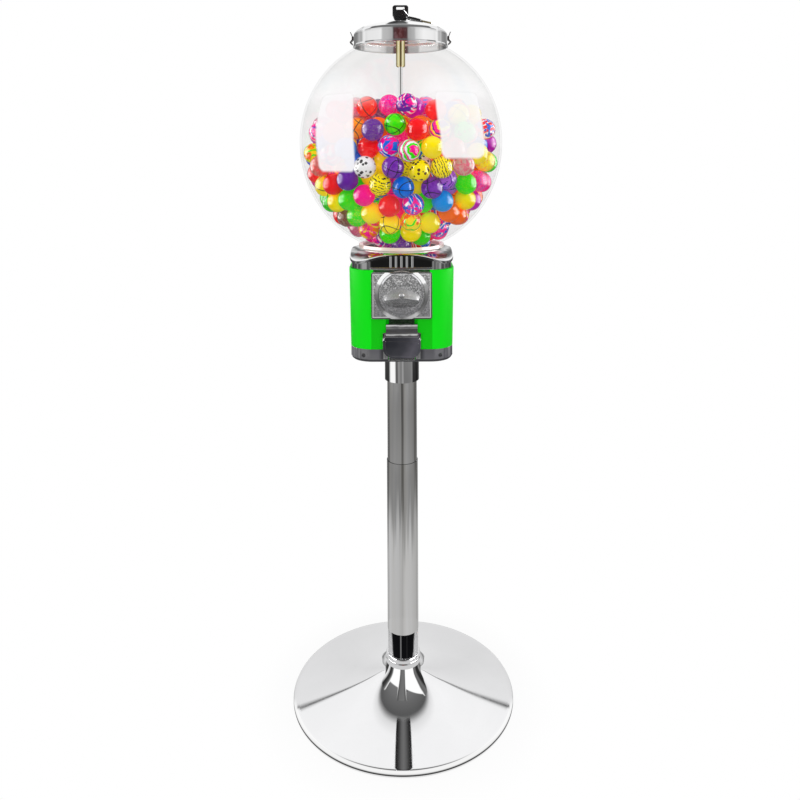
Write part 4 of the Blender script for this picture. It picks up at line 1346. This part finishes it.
def ball_mat(style):
    M = Mat("ball_" + style)
    def attr(n):
        return M.n("ShaderNodeAttribute", attribute_name=n)
    p = attr("lp").outputs["Vector"]
    c1, c2, c3 = (attr(n).outputs["Color"] for n in ("c1", "c2", "c3"))
    sd = attr("sd").outputs["Fac"]
    off = M.n("ShaderNodeVectorMath", operation="ADD", ins={0: p})
    cmb = M.t.nodes.new("ShaderNodeCombineXYZ")
    for i, k in enumerate((17.3, 5.1, 9.7)):
        M.link(M.math("MULTIPLY", sd, k), cmb.inputs[i])
    M.link(cmb.outputs[0], off.inputs[1])
    q = off.outputs[0]
    s = M.t.nodes.new("ShaderNodeSeparateXYZ"); M.link(p, s.inputs[0])
    fine = M.noise(q, 30.0, 4, 0.65)
    rough = M.maprange(M.noise(q, 3.0, 4, 0.6), 0.3, 0.75, 0.1, 0.24)
    coat, emis, trans = 0.4, 0.2, 0.0
    if style == "plain":
        n1 = M.noise(q, 1.6, 4, 0.6, 0.8)
        col = M.mix(M.maprange(n1, 0.35, 0.7, 0.0, 0.22), c1, c2)
    elif style == "marble":
        wv = M.n("ShaderNodeTexWave", wave_type="BANDS", bands_direction="DIAGONAL", wave_profile="SIN", ins={"Vector": q, "Scale": 0.42, "Distortion": 7.0, "Detail": 2.0, "Detail Scale": 0.9, "Detail Roughness": 0.6})
        f1 = M.ramp(wv.outputs["Fac"], [(0.0, 0.0), (0.36, 0.0), (0.5, 1.0), (0.78, 1.0), (0.86, 0.0)])
        n2 = M.noise(q, 1.0, 2, 0.5, 1.6)
        col = M.mix(M.ramp(n2, [(0.0, 0), (0.5, 0), (0.56, 1.0), (1, 1)]), M.mix(f1, c1, c2), c3)
    elif style == "speckle":
        vo = M.n("ShaderNodeTexVoronoi", feature="F1", ins={"Vector": q, "Scale": 6.5, "Randomness": 1.0})
        f1 = M.ramp(M.math("ADD", vo.outputs["Distance"], M.math("MULTIPLY", M.noise(q, 14.0, 2, 0.5), 0.22)), [(0.0, 1), (0.34, 1), (0.4, 0), (1, 0)])
        vo2 = M.n("ShaderNodeTexVoronoi", feature="F1", ins={"Vector": q, "Scale": 15.0, "Randomness": 1.0})
        f2 = M.ramp(vo2.outputs["Distance"], [(0.0, 1), (0.2, 1), (0.26, 0), (1, 0)])
        col = M.mix(f2, M.mix(f1, c1, c2), c3)
    elif style == "spots":
        vo = M.n("ShaderNodeTexVoronoi", feature="F1", ins={"Vector": q, "Scale": 2.6, "Randomness": 0.75})
        d = M.math("ADD", vo.outputs["Distance"], M.math("MULTIPLY", M.noise(q, 5.0, 2, 0.5), 0.2))
        f1 = M.ramp(d, [(0.0, 0), (0.26, 0), (0.29, 1), (0.44, 1), (0.47, 0)])
        f0 = M.ramp(d, [(0.0, 1), (0.26, 1), (0.29, 0), (1, 0)])
        col = M.mix(f1, M.mix(f0, c1, c3), c2)
    elif style == "bands":
        w = M.math("ADD", M.math("MULTIPLY", s.outputs[2], 2.2), M.math("MULTIPLY", M.noise(q, 1.4, 2, 0.5), 1.3))
        fr = M.math("FRACT", M.math("ADD", w, 8.0))
        col = M.mix(M.ramp(fr, [(0.0, 1), (0.33, 1), (0.36, 0), (0.97, 0), (1.0, 1)]), M.mix(M.ramp(fr, [(0.0, 0), (0.62, 0), (0.65, 1), (0.95, 1), (1, 0)]), c1, c2), c3)
    elif style == "half":
        w = M.math("ADD", s.outputs[2], M.math("MULTIPLY", M.math("SUBTRACT", M.noise(q, 2.0, 3, 0.5), 0.5), 0.25))
        col = M.mix(M.ramp(M.maprange(w, -1, 1, 0, 1), [(0, 0), (0.49, 0), (0.51, 1), (1, 1)]), c1, c2)
        col = M.mix(M.ramp(M.maprange(M.math("ABSOLUTE", w), 0, 1, 0, 1), [(0, 0.8), (0.05, 0.8), (0.07, 0.0), (1, 0)]), col, c3)
    elif style == "seams":     # thin dark lines: two great rings and a pair of side arcs
        dd = None
        for e in (M.math("ABSOLUTE", s.outputs[0]), M.math("ABSOLUTE", s.outputs[2]), M.math("ABSOLUTE", M.math("SUBTRACT", M.math("ABSOLUTE", s.outputs[1]), M.math("ADD", 0.42, M.math("MULTIPLY", M.math("MULTIPLY", s.outputs[0], s.outputs[0]), 0.5))))):
            dd = e if dd is None else M.math("MINIMUM", dd, e)
        n1 = M.noise(q, 2.2, 3, 0.6)
        col = M.mix(M.maprange(dd, 0.03, 0.05, 1.0, 0.0), M.mix(M.maprange(n1, 0.4, 0.6, 0.0, 0.25), c1, c3), c2)
    elif style == "tiger":     # short wavering dark strokes
        wv = M.n("ShaderNodeTexWave", wave_type="BANDS", bands_direction="Z", wave_profile="SIN", ins={"Vector": q, "Scale": 1.3, "Distortion": 5.5, "Detail": 2.0, "Detail Scale": 1.6, "Detail Roughness": 0.6})
        br = M.noise(q, 4.0, 2, 0.5)
        f1 = M.math("MULTIPLY", M.ramp(wv.outputs["Fac"], [(0.0, 1.0), (0.16, 1.0), (0.22, 0.0), (1.0, 0.0)]), M.maprange(br, 0.42, 0.46, 0.0, 1.0))
        col = M.mix(f1, c1, c2)
    elif style == "glitter":
        vo = M.n("ShaderNodeTexVoronoi", feature="F1", ins={"Vector": q, "Scale": 13.0, "Randomness": 1.0})
        f1 = M.ramp(vo.outputs["Distance"], [(0.0, 1), (0.22, 1), (0.27, 0), (1, 0)])
        bb = M.n("ShaderNodeSeparateColor", ins={0: vo.outputs["Color"]})
        col = M.mix(M.math("MULTIPLY", f1, M.maprange(bb.outputs[0], 0.2, 0.8, 0.3, 1.0)), c1, c2)
        trans = 0.3
    else:                      # gel: clear tinted rubber with a cloud of colour inside
        n1 = M.noise(q, 1.5, 4, 0.6, 1.6)
        col = M.mix(M.ramp(n1, [(0, 0), (0.45, 0.0), (0.55, 0.8), (0.66, 0.3), (1, 1)]), c1, c2)
        trans, emis = 0.55, 0.04
    col = M.mix(M.maprange(fine, 0.66, 0.78, 0.0, 0.05), col, (0.95, 0.95, 0.95))
    b = M.bsdf(Base_Color=col, Roughness=rough, Normal=M.bump(fine, 0.05, 0.00008))
    b.inputs["Specular IOR Level"].default_value = 0.12
    b.inputs["Coat Weight"].default_value = coat
    b.inputs["Coat Roughness"].default_value = 0.05
    M.link(col, b.inputs["Emission Color"])
    b.inputs["Emission Strength"].default_value = emis
    if trans:
        b.inputs["Transmission Weight"].default_value = trans
        b.inputs["IOR"].default_value = 1.35
    return M.done(b.outputs[0])


STYLES = ("plain", "seams", "tiger", "marble", "speckle", "spots", "bands", "half", "glitter", "gel")
BALL_M = {s: ball_mat(s) for s in STYLES}
WARM = [PINK, RED, ORA, YEL, RED, PINK, MAG, RED, YEL, ORA, PINK, BLU, RED, GRN]
NEON = [PINK, YEL, ORA, GRN, BLU, RED, PINK, ORA, YEL, COR, MAG, YEL, RED, PINK, CYA, PUR, YEL, RED, PINK, GRN]
COMBO = {
    "seams": [(RED, BLK, ORA), (ORA, BLK, RED), (PUR, BLK, LIL), (GRN, BLK, LIM), (YEL, BLK, YEL), (BLU, BLK, CYA), (ORA, BLK, YEL)],
    "tiger": [(YEL, BLK, WHT), (BLU, NAV, WHT), (ORA, BRN, WHT), (LIL, NAV, WHT), (GRN, BLK, WHT), (PINK, PUR, WHT)],
    "marble": [(ORA, YEL, PINK), (PINK, YEL, ORA), (BLU, WHT, PINK), (GRN, YEL, BLU), (RED, WHT, BLU), (PUR, PINK, CYA), (PINK, WHT, PUR), (YEL, GRN, ORA)],
    "speckle": [(PINK, BLU, WHT), (YEL, RED, BLU), (PUR, PINK, WHT), (GRN, YEL, PINK), (ORA, BLK, YEL), (BLU, WHT, YEL), (MAG, NAV, WHT), (LIL, PUR, PINK)],
    "spots": [(YEL, BLK, BRN), (ORA, BLK, YEL), (GRN, BLK, YEL), (WHT, BLK, BLK), (RED, BLK, BLK), (YEL, BRN, BLK)],
    "bands": [(WHT, BLU, RED), (YEL, RED, BLU), (GRN, PINK, WHT), (PUR, YEL, PINK), (ORA, WHT, BLU), (WHT, BLK, WHT)],
    "half": [(PUR, PINK, WHT), (BLU, YEL, WHT), (RED, YEL, BLK), (GRN, ORA, WHT), (NAV, WHT, RED), (PINK, YEL, WHT)],
    "glitter": [(PINK, WHT, WHT), (PUR, YEL, WHT), (RED, YEL, WHT), (BLU, WHT, WHT), (GRN, YEL, WHT)],
    "gel": [((0.5, 0.36, 0.3), BRN, WHT), ((0.75, 0.7, 0.7), PINK, WHT), ((0.8, 0.35, 0.3), RED, WHT), ((0.6, 0.5, 0.65), PUR, WHT)],
}


def rot3(rng):
    u1, u2, u3 = rng.random(), rng.random(), rng.random()
    q = (math.sqrt(1 - u1) * math.sin(2 * PI * u2), math.sqrt(1 - u1) * math.cos(2 * PI * u2), math.sqrt(u1) * math.sin(2 * PI * u3), math.sqrt(u1) * math.cos(2 * PI * u3))
    x, y, z, w = q
    return np.array([[1 - 2 * (y * y + z * z), 2 * (x * y - z * w), 2 * (x * z + y * w)], [2 * (x * y + z * w), 1 - 2 * (x * x + z * z), 2 * (y * z - x * w)], [2 * (x * z - y * w), 2 * (y * z + x * w), 1 - 2 * (x * x + y * y)]])


def balls(name, items, body, slot, nodes):
    """items: (centre, style, colours, seed). One mesh of separate balls, a material slot for each style."""
    used = [s for s in STYLES if any(i[1] == s for i in items)]
    nv = len(BV)
    co = np.empty((nv * len(items), 3)); lp = np.empty_like(co)
    cc = [np.empty((nv * len(items), 4), np.float32) for _ in range(3)]
    sd = np.empty(nv * len(items), np.float32)
    faces, mi = [], []
    for i, (c, st, cols, seed) in enumerate(items):
        R = rot3(random.Random(seed))
        sl = slice(i * nv, (i + 1) * nv)
        co[sl] = (BV @ R.T) * BR * MM + c
        lp[sl] = BV
        for a, col in zip(cc, cols):
            a[sl] = (*col, 1)
        sd[sl] = (seed * 0.37) % 7.0
        faces += [tuple(v + i * nv for v in f) for f in BF]
        mi += [used.index(st)] * len(BF)
    me = bpy.data.meshes.new(name)
    me.from_pydata([tuple(v) for v in co], [], faces)
    me.update()
    me.polygons.foreach_set("use_smooth", [True] * len(faces))
    for s in used:
        me.materials.append(BALL_M[s])
    me.polygons.foreach_set("material_index", mi)
    a = me.attributes.new("lp", "FLOAT_VECTOR", "POINT"); a.data.foreach_set("vector", lp.astype(np.float32).ravel())
    for n, arr in zip(("c1", "c2", "c3"), cc):
        a = me.attributes.new(n, "FLOAT_COLOR", "POINT"); a.data.foreach_set("color", arr.ravel())
    a = me.attributes.new("sd", "FLOAT", "POINT"); a.data.foreach_set("value", sd)
    ob = bpy.data.objects.new(name, me)
    scene.collection.objects.link(ob)
    return place(ob, body, slot, *nodes)


rng = random.Random(7)
items = []
for i, c in enumerate(centres("toy_balls")):
    pool = WARM if abs(c[0]) < 0.058 else NEON
    col = pool[rng.randrange(len(pool))]
    c2 = tuple(min(1, x * x + 0.004) for x in col)
    roll = rng.random()
    if roll < 0.6:
        items.append((c, "plain", (col, c2, WHT), 100 + i))
    else:
        st = "seams" if roll < 0.73 else "tiger" if roll < 0.83 else "marble" if roll < 0.9 else "speckle" if roll < 0.95 else "gel"
        items.append((c, st, rng.choice(COMBO[st]), 100 + i))
balls("plain_balls", items, "stand", "ball_rubber", ["toy_balls"])
items = []
for i, c in enumerate(centres("patterned_balls")):
    st = rng.choice(("marble", "marble", "marble", "speckle", "tiger", "spots", "bands", "seams", "glitter", "glitter", "gel"))
    items.append((c, st, rng.choice(COMBO[st]), 1000 + i))
balls("fancy_balls", items, "stand", "ball_pattern", ["patterned_balls"])
items = []
for i, c in enumerate(centres("balls_in_wheel")):
    items.append((c, "plain", (NEON[(3 * i + 1) % len(NEON)], WHT, WHT), 3000 + i))
balls("wheel_balls", items, "wheel", "ball_rubber", ["balls_in_wheel"])


# ------------------------------------------------------------------ the other CAD nodes: soft edges
for n in ("hopper_base", "dispensing_wheel", "wheel_agitator", "rod_nuts", "body_bolts", "coin_disc", "chute_duct", "lock_plug", "tie_rod_nuts", "mech_back_plate", "key_blade", "spare_key_blade"):
    md = NODES[n].modifiers.new("soft", "BEVEL")
    md.width = 0.22 * MM; md.segments = 2; md.limit_method = "ANGLE"; md.angle_limit = math.radians(50)


# ------------------------------------------------------------------ studio
def world():
    w = bpy.data.worlds.new("studio") if not scene.world else scene.world
    scene.world = w
    w.use_nodes = True
    M = Mat.__new__(Mat)
    M.t = w.node_tree
    M.t.nodes.clear()
    out = M.t.nodes.new("ShaderNodeOutputWorld")
    tc = M.t.nodes.new("ShaderNodeTexCoord")
    s = M.t.nodes.new("ShaderNodeSeparateXYZ"); M.link(in_studio(M, tc.outputs["Generated"]), s.inputs[0])
    x, y, z = s.outputs
    h = M.math("MAXIMUM", M.math("SQRT", M.math("ADD", M.math("MULTIPLY", x, x), M.math("MULTIPLY", y, y))), 1e-4)
    az = M.math("ABSOLUTE", M.math("MULTIPLY", M.math("ARCTAN2", x, M.math("MULTIPLY", y, -1.0)), 180 / PI))
    el = M.math("MULTIPLY", M.math("ARCTAN2", z, h), 180 / PI)
    # behind: a light wall, a thin dark seam, a white ceiling and dark beyond
    q = M.math("DIVIDE", z, M.math("MAXIMUM", y, 1e-4))
    wav = M.noise(tc.outputs["Generated"], 3.0, 2, 0.5)
    q = M.math("ADD", q, M.maprange(wav, 0.3, 0.7, -0.02, 0.02))
    back = M.ramp(M.maprange(q, 0.0, 4.0, 0.0, 1.0), BACK)
    # in front: a dark grey middle, lighter towards the sides
    front = M.ramp(M.maprange(az, 0.0, 180.0, 0.0, 1.0), [(0.0, 0.13), (0.13, 0.16), (0.17, 0.5), (0.5, 0.62), (1.0, 0.62)])
    warm = M.math("MULTIPLY", M.maprange(az, 7.0, 9.0, 1.0, 0.0), M.math("MULTIPLY", M.maprange(el, 2.0, 4.0, 0.0, 1.0), M.maprange(el, 26.0, 30.0, 1.0, 0.0)))
    front = M.mix(warm, front, (0.16, 0.075, 0.065))
    hi = M.maprange(el, 55.0, 66.0, 0.0, 1.0, True)
    front = M.mix(hi, front, (0.15, 0.15, 0.15))
    side = M.maprange(y, -0.06, 0.02, 0.0, 1.0, True)
    col = M.mix(side, front, back)
    below = M.maprange(z, -0.02, 0.0, 1.0, 0.0)
    col = M.mix(below, col, (0.08, 0.08, 0.08))
    bg1 = M.n("ShaderNodeBackground", ins={0: col, 1: 1.0})
    bg2 = M.n("ShaderNodeBackground", ins={0: (1, 1, 1, 1), 1: 1.0})
    lp = M.t.nodes.new("ShaderNodeLightPath")
    mx = M.n("ShaderNodeMixShader", ins={0: lp.outputs["Is Camera Ray"]})
    M.link(bg1.outputs[0], mx.inputs[1]); M.link(bg2.outputs[0], mx.inputs[2])
    M.link(mx.outputs[0], out.inputs[0])


world()


def softbox(name, loc, look, sx, sy, radiance, glossy=True, diffuse=True):
    li = bpy.data.lights.new(name, "AREA")
    li.shape = "RECTANGLE"
    li.size, li.size_y = sx, sy
    li.energy = radiance * PI * sx * sy
    ob = bpy.data.objects.new(name, li)
    ob.location = loc
    ob.rotation_euler = (Vector(look) - Vector(loc)).to_track_quat("-Z", "Z").to_euler()
    ob.visible_camera = False
    ob.visible_glossy = glossy
    ob.visible_diffuse = diffuse
    scene.collection.objects.link(ob)
    return ob


for sgn, nm in ((-1, "left"), (1, "right")):
    win = softbox("window_" + nm, (sgn * 0.70, -0.07, 0.925), (0, -0.07, 0.925), 0.80, 0.85, 11.0, diffuse=False)
    # the globe, the lid and the castings show their own picture of the studio
    if not bpy.data.collections.get("own_studio"):
        own = bpy.data.collections.new("own_studio")
        for o in ("globe_shell", "lid_spun", "top_collar_cast", "body_tray_cast", "chute_hood_cast", "base_dish_plated", "lock_sleeve_brass", "pole_lower_tube", "pole_upper_tube", "pole_ferrule_turned", "mech_plate_cast", "tray_screw_heads"):
            own.objects.link(bpy.data.objects[o])
        own.objects.link(NODES["center_rod"])
        for c in own.collection_objects:
            c.light_linking.link_state = "EXCLUDE"
    win.light_linking.receiver_collection = bpy.data.collections["own_studio"]
    softbox("glow_" + nm, (sgn * 0.70, -0.07, 0.925), (0, -0.07, 0.925), 0.80, 0.85, 2.4, glossy=False)
softbox("front_fill", (0, -2.6, 1.3), (0, 0, 0.7), 2.4, 1.8, 2.6, glossy=False)
softbox("top_fill", (0, -0.3, 2.4), (0, 0, 0.9), 1.4, 1.4, 2.2, glossy=False)

bm = bmesh.new()
for p in ((-8, -8), (8, -8), (8, 8), (-8, 8)):
    bm.verts.new((p[0], p[1], -0.0004))
bm.faces.new(bm.verts)
F = Mat("floor_pale")
v = F.coords()
s = F.t.nodes.new("ShaderNodeSeparateXYZ"); F.link(v, s.inputs[0])
dist = F.math("SQRT", F.math("ADD", F.math("MULTIPLY", s.outputs[0], s.outputs[0]), F.math("MULTIPLY", s.outputs[1], s.outputs[1])))
dif = F.n("ShaderNodeBsdfDiffuse", ins={0: (0.93, 0.93, 0.93, 1)})
em = F.n("ShaderNodeEmission", ins={0: (1, 1, 1, 1), 1: 1.0})
cam = F.n("ShaderNodeMixShader", ins={0: F.maprange(dist, 0.166, 0.24, 0.93, 1.0, True)})
F.link(dif.outputs[0], cam.inputs[1]); F.link(em.outputs[0], cam.inputs[2])
# what the mirrors see of the floor: pale close by, dark far out in front, streaky at the sides
g = F.n("ShaderNodeEmission", ins={1: 1.0})
ang = F.math("ABSOLUTE", F.math("MULTIPLY", F.math("ARCTAN2", s.outputs[0], F.math("MULTIPLY", s.outputs[1], -1.0)), 180 / PI))
raw = F.math("ARCTAN2", s.outputs[0], F.math("MULTIPLY", s.outputs[1], -1.0))
cx = F.t.nodes.new("ShaderNodeCombineXYZ"); F.link(F.math("MULTIPLY", raw, 5.5), cx.inputs[0])
F.link(F.math("MULTIPLY", dist, 0.25), cx.inputs[1])
stk = F.noise(cx.outputs[0], 1.0, 4, 0.65, 0.2)
stripe = F.ramp(stk, [(0.0, 0.02), (0.4, 0.04), (0.47, 0.5), (0.53, 0.7), (0.58, 0.1), (0.64, 0.05), (0.7, 0.8), (1.0, 0.8)])
base = F.ramp(F.maprange(dist, 0.0, 5.0, 0.0, 1.0), [(0.0, 0.56), (0.1, 0.56), (0.17, 0.27), (0.26, 0.17), (0.44, 0.15), (0.6, 0.035), (1.0, 0.012)])
fars = F.math("MULTIPLY", F.maprange(dist, 1.3, 2.0, 0.0, 1.0), F.maprange(ang, 18.0, 24.0, 0.0, 1.0))
colr = F.mix(fars, base, stripe)
lines = F.math("MULTIPLY", F.maprange(ang, 2.0, 3.6, 0.4, 1.0), F.math("SUBTRACT", 1.0, F.math("MULTIPLY", 0.85, F.math("MULTIPLY", F.maprange(ang, 114.0, 117.0, 0.0, 1.0), F.maprange(ang, 125.0, 128.0, 1.0, 0.0)))))
far1 = F.maprange(dist, 2.2, 3.0, 1.0, 0.0)
lines = F.math("ADD", F.math("MULTIPLY", lines, far1), F.math("SUBTRACT", 1.0, far1))
vm = F.n("ShaderNodeVectorMath", operation="SCALE"); F.link(colr, vm.inputs[0]); F.link(lines, vm.inputs[3])
F.link(vm.outputs[0], g.inputs[0])
lp = F.t.nodes.new("ShaderNodeLightPath")
ix = F.n("ShaderNodeMixShader", ins={0: lp.outputs["Is Camera Ray"]})
F.link(g.outputs[0], ix.inputs[1]); F.link(cam.outputs[0], ix.inputs[2])
fm = F.done(ix.outputs[0])
me = bpy.data.meshes.new("floor"); bm.to_mesh(me); bm.free(); me.materials.append(fm)
floor = bpy.data.objects.new("floor", me); scene.collection.objects.link(floor)

cam_d = bpy.data.cameras.new("camera")
cam_d.sensor_width = 36
cam_d.lens = 34.65
cam_d.shift_y = -0.309
cam_d.shift_x = -0.00125
cam_o = bpy.data.objects.new("camera", cam_d)
cam_o.location = (0, -1.177, 0.822)
cam_o.rotation_euler = (math.radians(90), math.radians(0.25), 0)
scene.collection.objects.link(cam_o)
scene.camera = cam_o


def follow(owner, path, channels, keys, ext):
    """Drives a value from the camera's own transform through a plain curve."""
    fc = owner.driver_add(path)
    for m in list(fc.modifiers):
        fc.modifiers.remove(m)
    while len(fc.keyframe_points):
        fc.keyframe_points.remove(fc.keyframe_points[0])
    for a, b in keys:
        k = fc.keyframe_points.insert(a, b)
        k.interpolation = "LINEAR"
    fc.extrapolation = ext
    fc.driver.type = "SUM"
    for ch in channels:
        v = fc.driver.variables.new()
        v.type = "TRANSFORMS"
        v.targets[0].id = cam_o
        v.targets[0].transform_type = ch
        v.targets[0].transform_space = "WORLD_SPACE"


# the lens is shifted at its own place only; anywhere else it looks straight at the object
here = cam_o.location[1] + cam_o.location[2]
follow(cam_d, "shift_y", ("LOC_Y", "LOC_Z"), ((here - 0.08, 0.0), (here - 0.04, -0.309), (here + 0.04, -0.309), (here + 0.08, 0.0)), "CONSTANT")
for tree, node in TURNS:
    follow(tree, 'nodes["%s"].inputs[3].default_value' % node.name, ("ROT_Z",), ((-10.0, 10.0), (10.0, -10.0)), "LINEAR")
scene.view_settings.view_transform = "Standard"
scene.view_settings.look = "None"
